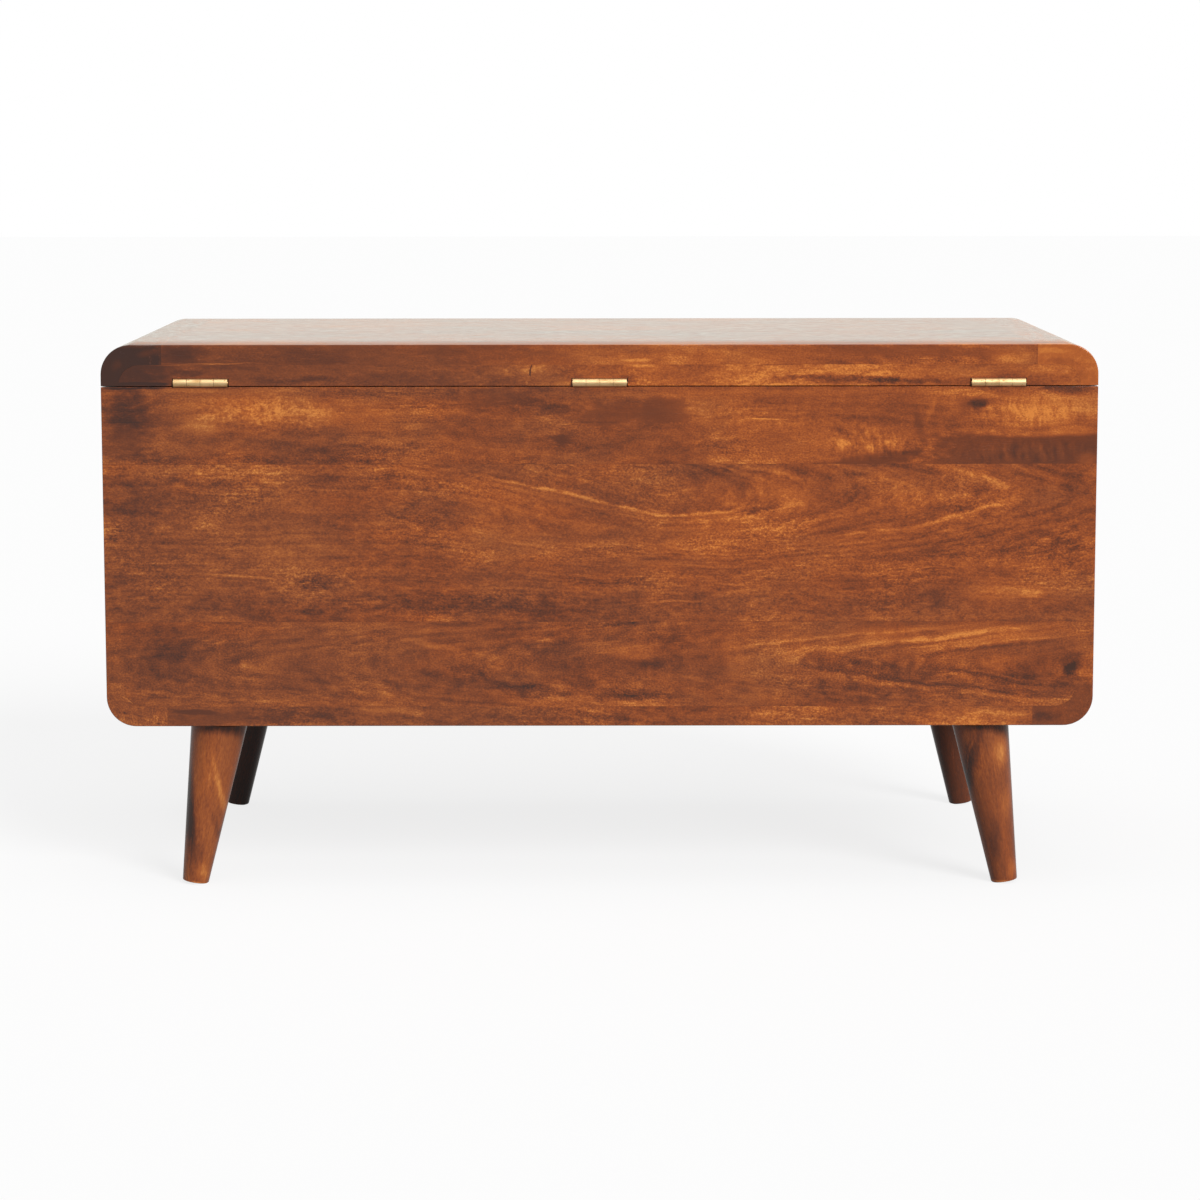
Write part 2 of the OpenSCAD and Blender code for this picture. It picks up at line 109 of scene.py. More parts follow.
class Tree:
    """Adds nodes to a node tree and wires them. A value fed in is a socket or a constant."""

    def __init__(self, tree):
        self.tree = tree

    def node(self, kind, feeds=None, **settings):
        node = self.tree.nodes.new(kind)
        count = len(self.tree.nodes)
        node.location = (200 * (count % 9), -260 * (count // 9))
        for name, value in settings.items():
            setattr(node, name, value)
        for key, value in (feeds or {}).items():
            self.feed(node.inputs[key], value)
        return node

    def feed(self, socket, value):
        if isinstance(value, bpy.types.NodeSocket):
            self.tree.links.new(value, socket)
        else:
            socket.default_value = value

    def math(self, operation, a, b=0.0, c=0.0, clamp=False):
        feeds = {0: a, 1: b, 2: c}
        return self.node("ShaderNodeMath", feeds, operation=operation, use_clamp=clamp).outputs[0]

    def plus(self, a, b):
        return self.math("ADD", a, b)

    def minus(self, a, b):
        return self.math("SUBTRACT", a, b)

    def times(self, a, b):
        return self.math("MULTIPLY", a, b)

    def larger(self, a, b):
        return self.math("MAXIMUM", a, b)

    def smaller(self, a, b):
        return self.math("MINIMUM", a, b)

    def size_of(self, a):
        return self.math("ABSOLUTE", a)

    def diagonal(self, a, b):
        return self.math("SQRT", self.plus(self.times(a, a), self.times(b, b)))

    def added(self, base, value, amount):
        """The base plus an amount of the value."""
        return self.math("MULTIPLY_ADD", value, amount, base)

    def varied(self, base, value, amount):
        """The base, moved up and down by a value that lies around one half."""
        return self.added(base, self.minus(value, 0.5), amount)

    def vector(self, operation, a, b=(0, 0, 0)):
        node = self.node("ShaderNodeVectorMath", {0: a, 1: b}, operation=operation)
        return node.outputs["Value" if operation == "LENGTH" else "Vector"]

    def rise(self, value, low, high):
        """Zero up to low, one from high on, smooth between. It falls where low is above high."""
        feeds = {"Value": value, "From Min": low, "From Max": high}
        node = self.node("ShaderNodeMapRange", feeds, interpolation_type="SMOOTHSTEP")
        return node.outputs["Result"]

    def split(self, vector):
        return self.node("ShaderNodeSeparateXYZ", {0: vector}).outputs

    def join(self, x, y, z):
        return self.node("ShaderNodeCombineXYZ", {0: x, 1: y, 2: z}).outputs[0]

    def noise(self, vector, scale, detail=2.0, roughness=0.5, output="Fac"):
        """Soft noise. Its scale is how often it turns light and dark in a metre, along each axis."""
        stretched = self.vector("MULTIPLY", vector, scale)
        feeds = {"Vector": stretched, "Scale": 1.0, "Detail": detail, "Roughness": roughness}
        return self.node("ShaderNodeTexNoise", feeds).outputs[output]

    def mix(self, factor, a, b, blend="MIX"):
        feeds = {0: factor, 6: a, 7: b}
        return self.node("ShaderNodeMix", feeds, data_type="RGBA", blend_type=blend).outputs[2]

    def mixed_shader(self, factor, a, b):
        feeds = {0: factor, 1: a.outputs[0], 2: b.outputs[0]}
        return self.node("ShaderNodeMixShader", feeds).outputs[0]


FLOAT = "NodeSocketFloat"
VECTOR = "NodeSocketVector"
COLOUR = "NodeSocketColor"
GEOMETRY = "NodeSocketGeometry"


def make_group(kind, name, inputs, outputs, build):
    """A new node group. An input is given as the kind of its socket, or as its default number.
    The build function gets the tree and the inputs, and returns the outputs by name."""
    tree = bpy.data.node_groups.new(name, kind)
    for label, start in inputs.items():
        socket_type = start if isinstance(start, str) else FLOAT
        socket = tree.interface.new_socket(label, in_out="INPUT", socket_type=socket_type)
        if not isinstance(start, str):
            socket.default_value = start
    for label, socket_type in outputs.items():
        tree.interface.new_socket(label, in_out="OUTPUT", socket_type=socket_type)
    t = Tree(tree)
    given = t.node("NodeGroupInput").outputs
    result = t.node("NodeGroupOutput").inputs
    for label, value in build(t, given).items():
        t.feed(result[label], value)
    return tree


def shader_group(name, inputs, outputs):
    """Turns a build function into one that places its shared shader group in a tree. The group is
    made on its first use."""
    def wrap(build):
        def place(tree, feeds):
            group = bpy.data.node_groups.get(name)
            if group is None:
                group = make_group("ShaderNodeTree", name, inputs, outputs, build)
            return tree.node("ShaderNodeGroup", feeds, node_tree=group).outputs
        return place
    return wrap


# Shader groups for wood

@shader_group("Sway", {"Vector": VECTOR, "Seed": 1.0}, {"Vector": VECTOR, "Shift": VECTOR})
def swayed_grain(t, given):
    """Bends straight grain a little, so that it wanders along the board."""
    seed = given["Seed"]
    shift = t.vector("MULTIPLY", t.join(seed, seed, seed), (1.73, 3.19, 5.37))
    place = t.vector("ADD", given["Vector"], shift)
    long_bend = ((8, 19, 19), (0.02, 0.012, 0.014))
    short_curl = ((50, 90, 90), (0.006, 0.0026, 0.0026))
    bent = given["Vector"]
    for scale, size in (long_bend, short_curl):
        centred = t.vector("SUBTRACT", t.noise(place, scale, output="Color"), (0.5, 0.5, 0.5))
        bent = t.vector("ADD", bent, t.vector("MULTIPLY", centred, size))
    return {"Vector": bent, "Shift": shift}


@shader_group(
    "Wood figure",
    {"Vector": VECTOR, "Grain": VECTOR, "Shift": VECTOR, "Pith": VECTOR, "Slope": 0.25, "Ring Width": 0.007},
    dict.fromkeys(("Hue", "Rings", "Cloud", "Streak", "Dash", "Fleck", "Fibre"), FLOAT))
def wood_figure(t, given):
    """Figure of one board whose grain runs along x: growth rings, clouds, streaks, dashes,
    flecks and fibres. Vector is the plain place, and Grain the place in bent grain."""
    from_pith = t.vector("SUBTRACT", given["Grain"], given["Pith"])
    across = t.vector("LENGTH", t.vector("MULTIPLY", from_pith, (0, 1, 1)))
    radius = t.minus(across, t.times(t.split(from_pith)[X], given["Slope"]))
    turns = t.plus(t.math("DIVIDE", radius, given["Ring Width"]), t.split(given["Shift"])[X])
    ring_feeds = {"W": turns, "Scale": 1.0, "Detail": 2.0, "Roughness": 0.6}
    place = t.vector("ADD", given["Vector"], given["Shift"])
    grain = t.vector("ADD", given["Grain"], given["Shift"])
    return {
        "Rings": t.node("ShaderNodeTexNoise", ring_feeds, noise_dimensions="1D").outputs["Fac"],
        "Hue": t.noise(place, (11, 26, 26), detail=4.0, roughness=0.65),
        "Cloud": t.noise(grain, (9, 20, 20), detail=3.0, roughness=0.55),
        "Streak": t.noise(grain, (78, 165, 165), detail=3.0, roughness=0.6),
        "Dash": t.noise(grain, (50, 420, 420), detail=1.0),
        "Fleck": t.noise(place, (520, 760, 760), roughness=0.7),
        "Fibre": t.noise(place, (90, 2300, 2300), detail=1.0),
    }


# How much each part of the figure moves the tone of the stain
FIGURE_SHARES = {"Rings": 0.30, "Cloud": 0.78, "Streak": 0.58, "Dash": 0.10, "Fleck": 0.74, "Fibre": 0.10}


@shader_group("Stain tone", {"Base": 0.5, **dict.fromkeys(FIGURE_SHARES, 0.5)}, {"Tone": FLOAT})
def stain_tone(t, given):
    """How light the stain is over the surface, from the parts of the figure."""
    tone = given["Base"]
    for label, share in FIGURE_SHARES.items():
        tone = t.varied(tone, given[label], share)
    # short pale flecks crowd where the clouds are light
    patch = t.rise(given["Cloud"], 0.42, 0.68)
    tone = t.added(tone, t.times(t.minus(given["Fleck"], 0.5), patch), 0.6)
    # a few pale dashes stand out along the grain
    crowd = t.rise(given["Cloud"], 0.44, 0.62)
    dashes = t.times(t.rise(given["Dash"], 0.55, 0.72), crowd)
    return {"Tone": t.added(tone, dashes, 0.16)}


@shader_group("Stain", {"Tone": 0.5, "Warmth": 0.5}, {"Color": COLOUR})
def stain_colour(t, given):
    """Colour of the stained wood from its tone, and from how warm the board is."""
    wood = bpy.context.scene.chest_wood
    shades = {0.0: wood.charcoal, 0.26: wood.deep, 0.5: wood.middle, 0.72: wood.light, 1.0: wood.gold}
    ramp = t.node("ShaderNodeValToRGB", {0: given["Tone"]})
    stops = ramp.color_ramp.elements
    while len(stops) < len(shades):
        stops.new(0.5)
    for stop, (position, shade) in zip(stops, shades.items()):
        stop.position = position
        stop.color = (*shade, 1)
    cool_tint, warm_tint = (0.93, 1.0, 1.12, 1), (1.07, 1.0, 0.86, 1)
    tint = t.mix(given["Warmth"], cool_tint, warm_tint)
    return {"Color": t.mix(1.0, ramp.outputs["Color"], tint, "MULTIPLY")}


@shader_group(
    "Smudge",
    {"Vector": VECTOR, "Middle": VECTOR, "Half Size": VECTOR, "Lean": 0.0, "Soft": 0.6, "Torn": 0.7,
     "Power": 2.0, "Ragged": 0.5, "Depth": 0.045},
    {"Mask": FLOAT})
def smudge_mask(t, given):
    """Mask of a soft oval patch on the back. A higher power squares its outline."""
    away = t.vector("SUBTRACT", given["Vector"], given["Middle"])
    turn_feeds = {"Vector": away, "Angle": given["Lean"]}
    turned = t.node("ShaderNodeVectorRotate", turn_feeds, rotation_type="Y_AXIS").outputs[0]
    shrunk = t.split(t.vector("ABSOLUTE", t.vector("DIVIDE", turned, given["Half Size"])))
    power = given["Power"]
    powers = t.plus(t.math("POWER", shrunk[X], power), t.math("POWER", shrunk[Z], power))
    distance = t.math("POWER", powers, t.math("DIVIDE", 1.0, power))
    torn = t.varied(distance, given["Ragged"], given["Torn"])
    below_back = t.minus(HALF_DEPTH, t.split(given["Vector"])[Y])
    near_back = t.rise(t.math("DIVIDE", below_back, given["Depth"]), 1.0, 0.5)
    return {"Mask": t.times(t.rise(torn, 1.0, t.minus(1.0, given["Soft"])), near_back)}


@shader_group(
    "Arched grain",
    {"Vector": VECTOR, "Opening": 1.0, "Tip": 0.0, "Flat From": 0.1, "Spread": 0.2, "Middle": 0.3,
     "Depth": 0.015, "Sweep": 0.0, "Sweep From": 0.0, "Sweep To": 1.0, "Straight Below": -1.0,
     "Arched Above": -0.9},
    {"Vector": VECTOR})
def arched_grain(t, given):
    """Bends straight grain into nested arches, as where a board was sawn off the side of a log.
    Along x the arches open away from the first tip, until they run flat. Their middle line
    sweeps up between two places. Near the low edge the grain is straight again."""
    x, y, z = t.split(given["Vector"])
    bend = t.rise(z, given["Straight Below"], given["Arched Above"])
    along = t.times(x, given["Opening"])
    inward = t.minus(t.smaller(along, given["Flat From"]), given["Tip"])
    spread = t.times(t.times(inward, given["Spread"]), bend)
    sweep = t.times(t.rise(along, given["Sweep From"], given["Sweep To"]), given["Sweep"])
    off = t.minus(z, t.added(given["Middle"], sweep, bend))
    outward = t.minus(t.diagonal(off, given["Depth"]), given["Depth"])
    return {"Vector": t.join(x, t.added(y, off, 0.35), t.minus(outward, spread))}


@shader_group(
    "Ring line",
    {"Vector": VECTOR, "Level": 0.0, "Width": 0.002, "From": 0.0, "To": 0.1, "Ragged": 0.5},
    {"Mask": FLOAT})
def ring_mask(t, given):
    """Mask of one broken growth ring in arched grain, in a stretch along x."""
    place = t.split(given["Vector"])
    ragged = given["Ragged"]
    wobble = t.varied(place[Z], ragged, 0.004)
    line = t.rise(t.size_of(t.minus(wobble, given["Level"])), given["Width"], 0.0)
    middle = t.times(t.plus(given["From"], given["To"]), 0.5)
    half = t.times(t.minus(given["To"], given["From"]), 0.5)
    aside = t.math("DIVIDE", t.size_of(t.minus(place[X], middle)), half)
    ends = t.rise(t.varied(aside, ragged, 1.2), 1.0, 0.6)
    broken = t.added(0.4, t.rise(ragged, 0.36, 0.52), 0.6)
    return {"Mask": t.times(line, t.times(broken, ends))}


@shader_group("Joint line", {"Place": 0.0, "Low": -1.0, "High": 1.0, "Ragged": 0.5}, {"Mask": FLOAT})
def joint_mask(t, given):
    """Mask of the hairline joint at both long edges of a board."""
    near = t.smaller(t.minus(given["Place"], given["Low"]), t.minus(given["High"], given["Place"]))
    line = t.rise(near, 0.6 * MM, 0.1 * MM)
    return {"Mask": t.times(line, t.rise(given["Ragged"], 0.4, 0.6))}


def depths_inside(t, place):
    """How far a place lies inside the rounded outline of the chest, and how far behind the plane
    of its back or front."""
    radius = bpy.context.scene.chest_wood.corner_radius
    middle = (0, 0, (TOP + UNDERSIDE) / 2)
    core = (HALF_WIDTH - radius, HALF_DEPTH, (TOP - UNDERSIDE) / 2 - radius)
    away = t.vector("ABSOLUTE", t.vector("SUBTRACT", place, middle))
    x, y, z = t.split(t.vector("SUBTRACT", away, core))
    corner = t.diagonal(t.larger(x, 0.0), t.larger(z, 0.0))
    inner = t.smaller(t.larger(x, z), 0.0)
    return t.minus(radius, t.plus(corner, inner)), t.times(y, -1.0)


@shader_group("Edge rub", {"Vector": VECTOR, "Ragged": 0.5}, {"Mask": FLOAT})
def edge_rub_mask(t, given):
    """Mask of the outer edges of the chest, where the stain is rubbed thin."""
    to_outline, to_face = depths_inside(t, given["Vector"])
    worn = t.varied(t.larger(to_outline, to_face), given["Ragged"], 4 * MM)
    return {"Mask": t.rise(worn, 2.8 * MM, 0.4 * MM)}


@shader_group("Top strip highlight", {"Vector": VECTOR}, {"Mask": FLOAT})
def top_strip_highlight_mask(t, given):
    """Mask of the strip of the lid top beside its back edge, where a painted highlight makes the stain
    paler.
    """
    place = t.split(given["Vector"])
    beside = t.rise(place[Y], HALF_DEPTH - 80 * MM, HALF_DEPTH - 5 * MM)
    return {"Mask": t.times(beside, t.rise(place[Z], TOP - 0.3 * MM, TOP - 0.1 * MM))}


@shader_group(
    "Lacquer", {"Vector": VECTOR, "Gloss": 0.34, "Streak": 0.5, "Cloud": 0.5, "Fibre": 0.5},
    {"Roughness": FLOAT, "Height": FLOAT})
def lacquer_finish(t, given):
    """Roughness and fine relief of satin lacquer that has sunk a little into the grain."""
    rough = t.varied(given["Gloss"], given["Streak"], 0.3)
    rough = t.varied(rough, given["Cloud"], 0.10)
    ripple = t.noise(given["Vector"], (230, 230, 230), detail=1.0)
    pores = t.rise(given["Fibre"], 0.38, 0.28)
    height = t.added(t.times(ripple, 0.6), given["Streak"], 0.5)
    return {"Roughness": t.added(rough, pores, 0.1), "Height": t.added(height, pores, -0.5)}


class Marks:
    """Adds marks to the wood of one piece. Each was placed one by one. A place is given by the x and z of
    its middle on the back and by its half width and half height, in millimetres."""

    # how far the wandering grain can carry a mark
    DRIFT = 9.0

    def __init__(self, tree, vector, grain, ragged, tone, warmth, depth, heights):
        self.tree = tree
        self.depth = depth
        self.heights = heights
        self.vector = vector
        self.grain = grain
        self.ragged = ragged
        self.tone = tone
        self.warmth = warmth

    def lighten(self, mask, strength):
        if mask is not None:
            self.tone = self.tree.added(self.tone, mask, strength)

    def patch(self, x, z, half_x, half_z, lean=0.0, soft=0.7, torn=0.7, power=2.0):
        """Mask of an oval, or None where the oval lies wholly above or below the piece."""
        turned_half = half_z + abs(half_x * math.sin(math.radians(lean)))
        reach = turned_half * (1 + torn / 2) + self.DRIFT
        low, high = self.heights
        if z + reach < low or z - reach > high:
            return None
        return smudge_mask(self.tree, {
            "Vector": self.vector, "Ragged": self.ragged, "Middle": (x * MM, 0, z * MM),
            "Half Size": (half_x * MM, 1, half_z * MM), "Lean": math.radians(lean), "Soft": soft,
            "Torn": torn, "Power": power, "Depth": self.depth * MM})["Mask"]

    def smudges(self, *places, **shape):
        """Patches that are lighter or darker than the wood around them. Each place ends with the
        strength, which is below zero where the wood is darker."""
        for x, z, half_x, half_z, strength in places:
            self.lighten(self.patch(x, z, half_x, half_z, **shape), strength)

    def streaks(self, *places):
        """Thin broken lines along the grain. Each place ends with the strength and the lean."""
        for x, z, half_x, half_z, strength, lean in places:
            self.lighten(self.patch(x, z, half_x, half_z, lean, soft=0.9, torn=2.2), strength)

    def stain(self, x, z, half_x, half_z, tone, cover, **shape):
        """A patch whose tone is even, whatever the wood under it."""
        mask = self.patch(x, z, half_x, half_z, **shape)
        if mask is not None:
            lack = self.tree.minus(tone, self.tone)
            self.tone = self.tree.added(self.tone, self.tree.times(mask, cover), lack)

    def warms(self, *places):
        """Wide patches of a redder or browner stain. Each place ends with the strength."""
        for x, z, half_x, half_z, strength in places:
            mask = self.patch(x, z, half_x, half_z, soft=1.0, torn=0.3)
            if mask is not None:
                self.warmth = self.tree.added(self.warmth, mask, strength)

    def rings(self, *lines):
        """Growth rings in arched grain: the level of each, where it starts and ends along x, its
        strength and its width."""
        for level, start, end, strength, width in lines:
            self.lighten(ring_mask(self.tree, {
                "Vector": self.grain, "Ragged": self.ragged, "Level": level * MM, "Width": width * MM,
                "From": start * MM, "To": end * MM})["Mask"], strength)

    def ripples(self, *places):
        """Short upright ripples across the grain, or curly flecks if they aren't tall. Each place
        ends with the strength and with the width and height of a ripple."""
        for x, z, half_x, half_z, strength, wave, tall in places:
            mask = self.patch(x, z, half_x, half_z)
            if mask is not None:
                across = 1 / (tall * MM)
                waves = self.tree.noise(self.vector, (1 / (wave * MM), across, across))
                self.lighten(self.tree.times(mask, self.tree.minus(waves, 0.5)), strength)


# Materials

def new_material(name):
    material = bpy.data.materials.new(name)
    material.use_nodes = True
    material.node_tree.nodes.clear()
    return material, Tree(material.node_tree)


def finish_surface(t, colour, roughness, height, relief, coat=0.0, **constants):
    """The Principled surface of a material, with its constants on the shader's own sockets."""
    bump = t.node("ShaderNodeBump", {"Height": height, "Strength": 1.0, "Distance": relief})
    feeds = {"Base Color": colour, "Roughness": roughness, "Normal": bump.outputs[0], "Coat Weight": coat}
    surface = t.node("ShaderNodeBsdfPrincipled", feeds)
    for label, value in constants.items():
        surface.inputs[label.replace("_", " ")].default_value = value
    t.node("ShaderNodeOutputMaterial", {"Surface": surface.outputs[0]})


def board_place(t, grain):
    """Object coordinates, plain and turned so that the grain runs along x."""
    place = t.node("ShaderNodeTexCoord").outputs["Object"]
    if grain == X:
        return place, place
    if grain == Y:
        x, y, z = t.split(place)
        return place, t.join(y, x, z)
    euler = grain.rotation_difference(Vector((1, 0, 0))).to_euler()
    turn_feeds = {"Vector": place, "Rotation": euler}
    turned = t.node("ShaderNodeVectorRotate", turn_feeds, rotation_type="EULER_XYZ")
    return place, turned.outputs[0]


# How far marks reach from the back into a piece, in millimetres
MARK_DEPTH = 45.0
LID_BOARD_MARK_DEPTH = 12.0
LID_BLOCK_MARK_DEPTH = 14.0
LEG_MARK_DEPTH = 300.0

# How strongly the colour noise, the joints, the rubbed edges and the painted highlight on the lid top change
# the finish
HUE_TO_WARMTH = 2.6
JOINT_TONE = -0.14
EDGE_RUB_TONE = 0.04
TOP_HIGHLIGHT_TONE = 0.2
TOP_STRIP_COAT = -0.2
TOP_STRIP_ROUGHNESS = 0.16


def stained_wood(node, grain, seed, pith, tone=0.5, warmth=0.5, slope=0.3, ring_width=7.0,
                 joints=None, mark=None, arches=None, rub=True, stretch=1.0, calm=1.0,
                 mark_depth=MARK_DEPTH):
    """Stained and lacquered wood of one board. Pith is where the middle of the log lay, in
    millimetres, in a frame whose x is the grain. Joints are (axis, low, high) of its long edges."""
    material, t = new_material("Stain_" + node)
    place, along = board_place(t, grain)
    along = t.vector("DIVIDE", along, (stretch, 1, 1))
    swayed = swayed_grain(t, {"Vector": along, "Seed": seed})
    bent = swayed["Vector"]
    if arches:
        bent = arched_grain(t, {"Vector": bent, **arches})["Vector"]
    figure = wood_figure(t, {
        "Vector": along, "Grain": bent, "Shift": swayed["Shift"], "Pith": [c * MM for c in pith],
        "Slope": slope, "Ring Width": ring_width * MM})
    parts = {label: figure[label] for label in FIGURE_SHARES}
    tone_value = stain_tone(t, {"Base": tone, **parts})["Tone"]
    tone_value = t.added(tone, t.minus(tone_value, tone), calm)
    warmth_value = t.varied(warmth, figure["Hue"], HUE_TO_WARMTH)
    if mark:
        drift = t.vector("SUBTRACT", swayed["Vector"], along)
        heights = [corner.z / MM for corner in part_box(node)]
        marks = Marks(t, t.vector("ADD", place, drift), bent, parts["Streak"], tone_value, warmth_value,
                      mark_depth, heights)
        mark(marks)
        tone_value = marks.tone
        warmth_value = marks.warmth
    if joints:
        axis, low, high = joints
        feeds = {"Place": t.split(place)[axis], "Low": low, "High": high, "Ragged": parts["Cloud"]}
        tone_value = t.added(tone_value, joint_mask(t, feeds)["Mask"], JOINT_TONE)
    coat = 0.3
    duller = 0.0
    if rub:
        worn = edge_rub_mask(t, {"Vector": place, "Ragged": parts["Streak"]})["Mask"]
        # the strip of lid top beside its back edge gets a painted highlight: a paler stain, with a thinner
        # coat and a higher roughness
        rubbed = top_strip_highlight_mask(t, {"Vector": place})["Mask"]
        tone_value = t.added(t.added(tone_value, worn, EDGE_RUB_TONE), rubbed, TOP_HIGHLIGHT_TONE)
        coat = t.added(coat, rubbed, TOP_STRIP_COAT)
        duller = t.times(rubbed, TOP_STRIP_ROUGHNESS)
    colour = stain_colour(t, {"Tone": tone_value, "Warmth": warmth_value})["Color"]
    finish = lacquer_finish(t, {
        "Vector": place, "Gloss": bpy.context.scene.chest_wood.gloss, "Streak": parts["Streak"],
        "Cloud": parts["Cloud"], "Fibre": parts["Fibre"]})
    finish_surface(t, colour, t.plus(finish["Roughness"], duller), finish["Height"], 0.02 * MM, coat,
                   IOR=1.35, Coat_Roughness=0.14, Coat_Tint=(1.0, 0.99, 0.92, 1.0))
    return material


@shader_group(
    "Metal age", {"Vector": VECTOR, "Clean": COLOUR, "Aged": COLOUR, "Polish": 0.3},
    {"Color": COLOUR, "Roughness": FLOAT, "Height": FLOAT})
def metal_age(t, given):
    """Tarnish, fine scratches along x and fingermarks on bare metal."""
    place = given["Vector"]
    cloud = t.noise(place, (60, 160, 160), detail=3.0, roughness=0.6)
    scratch = t.noise(place, (90, 3500, 3500), roughness=0.6)
    spots = t.rise(t.noise(place, (420, 420, 420)), 0.62, 0.72)
    age = t.math("MULTIPLY_ADD", spots, 0.5, t.rise(cloud, 0.42, 0.9), clamp=True)
    return {
        "Color": t.mix(age, given["Clean"], given["Aged"]),
        "Roughness": t.varied(t.added(given["Polish"], age, 0.18), scratch, 0.3),
        "Height": scratch,
    }


def bare_metal(name, clean, aged, polish):
    """Bare metal of one kind, made on its first use. A lower polish is smoother."""
    if name in bpy.data.materials:
        return bpy.data.materials[name]
    material, t = new_material(name)
    place = t.node("ShaderNodeTexCoord").outputs["Object"]
    metal = metal_age(t, {"Vector": place, "Clean": (*clean, 1), "Aged": (*aged, 1), "Polish": polish})
    finish_surface(t, metal["Color"], metal["Roughness"], metal["Height"], 0.01 * MM, Metallic=1.0)
    return material


def brass():
    metal = bpy.context.scene.chest_metal
    return bare_metal("Brass", metal.brass, metal.tarnish, polish=0.46)


def steel():
    clean = bpy.context.scene.chest_metal.steel
    darker = [c * 0.6 for c in clean]
    return bare_metal("Steel", clean, darker, polish=0.35)


def beech():
    """Plain dowel wood, not stained."""
    if "Beech" in bpy.data.materials:
        return bpy.data.materials["Beech"]
    pale = bpy.context.scene.chest_wood.beech
    darker = [c * 0.7 for c in pale]
    material, t = new_material("Beech")
    place = t.node("ShaderNodeTexCoord").outputs["Object"]
    figure = wood_figure(t, {
        "Vector": place, "Grain": place, "Shift": (7, 13, 21), "Pith": (0, 0.3, 0.1), "Ring Width": 0.002})
    tone = t.added(t.times(figure["Fibre"], 0.4), figure["Streak"], 0.6)
    colour = t.mix(tone, (*darker, 1), (*pale, 1))
    finish_surface(t, colour, t.added(0.5, figure["Fibre"], 0.2), figure["Fibre"], 0.05 * MM)
    return material


# Edges

# How near two points or planes have to be to count as one, in metres
SAME_POINT = 1e-6
SAME_PLANE = 0.08 * MM

# Angles between faces, in degrees: up to the first they are one flat face, from the second they
# shade as an edge, and from the third the edge of a small piece is broken
FLAT_ANGLE = 0.3
SHARP_ANGLE = 25
BROKEN_ANGLE = 40


def mark_outer_edges(t, given):
    """Welds a CAD mesh, keeps its sharp edges sharp and marks the outer edges of the chest for
    the bevel that follows. The edges at the seam get a smaller share of it."""
    seam_share = 0.55
    welded = t.node("GeometryNodeMergeByDistance", {"Geometry": given["Geometry"], "Distance": SAME_POINT})
    smooth = t.node("GeometryNodeSetShadeSmooth", {"Geometry": welded.outputs[0], "Shade Smooth": True})
    angle = t.node("GeometryNodeInputMeshEdgeAngle").outputs["Unsigned Angle"]
    sharp = t.node("FunctionNodeCompare", {0: angle, 1: math.radians(SHARP_ANGLE)},
                   data_type="FLOAT", operation="GREATER_THAN").outputs[0]
    crease_feeds = {"Geometry": smooth.outputs[0], "Selection": sharp, "Shade Smooth": False}
    creased = t.node("GeometryNodeSetShadeSmooth", crease_feeds, domain="EDGE")
    place = t.node("GeometryNodeInputPosition").outputs[0]
    to_outline, to_face = depths_inside(t, place)
    sides = t.split(place)
    on_outline = t.math("LESS_THAN", t.size_of(to_outline), SAME_PLANE)
    on_face = t.math("LESS_THAN", to_face, SAME_PLANE)
    on_side = t.math("GREATER_THAN", t.size_of(sides[X]), HALF_WIDTH - SAME_PLANE)
    at_seam = t.larger(t.math("COMPARE", sides[Z], SEAM_LOW, SAME_PLANE),
                       t.math("COMPARE", sides[Z], SEAM_HIGH, SAME_PLANE))
    seam_edge = t.times(at_seam, t.larger(on_face, on_side))
    weight = t.larger(t.times(on_face, on_outline), t.times(seam_edge, seam_share))
    stored_feeds = {"Geometry": creased.outputs[0], "Name": "bevel_weight_edge", "Value": weight}
    stored = t.node("GeometryNodeStoreNamedAttribute", stored_feeds, data_type="FLOAT", domain="EDGE")
    return {"Geometry": stored.outputs[0]}


def add_modifier(piece, name, kind, **settings):
    modifier = piece.modifiers.new(name, kind)
    for setting, value in settings.items():
        setattr(modifier, setting, value)


def clean_mesh(piece):
    """Welds the triangles of a CAD mesh and joins those that lie in one plane."""
    add_modifier(piece, "Weld", "WELD", merge_threshold=SAME_POINT)
    add_modifier(piece, "Join flat faces", "DECIMATE", decimate_type="DISSOLVE",
                 angle_limit=math.radians(FLAT_ANGLE))


def ease_outer_edges(node):
    """Rounds the edges of a wooden piece that lie on the outside of the chest."""
    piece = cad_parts[node]
    sockets = {"Geometry": GEOMETRY}
    group = bpy.data.node_groups.get("Outer edges")
    if group is None:
        group = make_group("GeometryNodeTree", "Outer edges", sockets, sockets, mark_outer_edges)
    clean_mesh(piece)
    add_modifier(piece, "Outer edges", "NODES", node_group=group)
    add_modifier(piece, "Eased edges", "BEVEL", limit_method="WEIGHT",
                 width=bpy.context.scene.chest_wood.ease, segments=3)
    add_modifier(piece, "Normals", "WEIGHTED_NORMAL", keep_sharp=True)


def ease_all_edges(node, width):
    """Breaks every sharp edge of a small piece."""
    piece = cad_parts[node]
    clean_mesh(piece)
    add_modifier(piece, "Broken edges", "BEVEL", limit_method="ANGLE",
                 angle_limit=math.radians(BROKEN_ANGLE), width=width, segments=2, harden_normals=False)
    add_modifier(piece, "Normals", "WEIGHTED_NORMAL", keep_sharp=True)


def dress(node, material):
    """Gives a CAD piece its material in every slot, adding a slot where it has none."""
    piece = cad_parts[node]
    if not piece.material_slots:
        piece.data.materials.append(None)
    for place in piece.material_slots:
        place.material = material


def dress_board(node, *wood, **more_wood):
    """Stained wood, as stained_wood takes it, and eased edges for one board."""
    dress(node, stained_wood(node, *wood, **more_wood))
    ease_outer_edges(node)


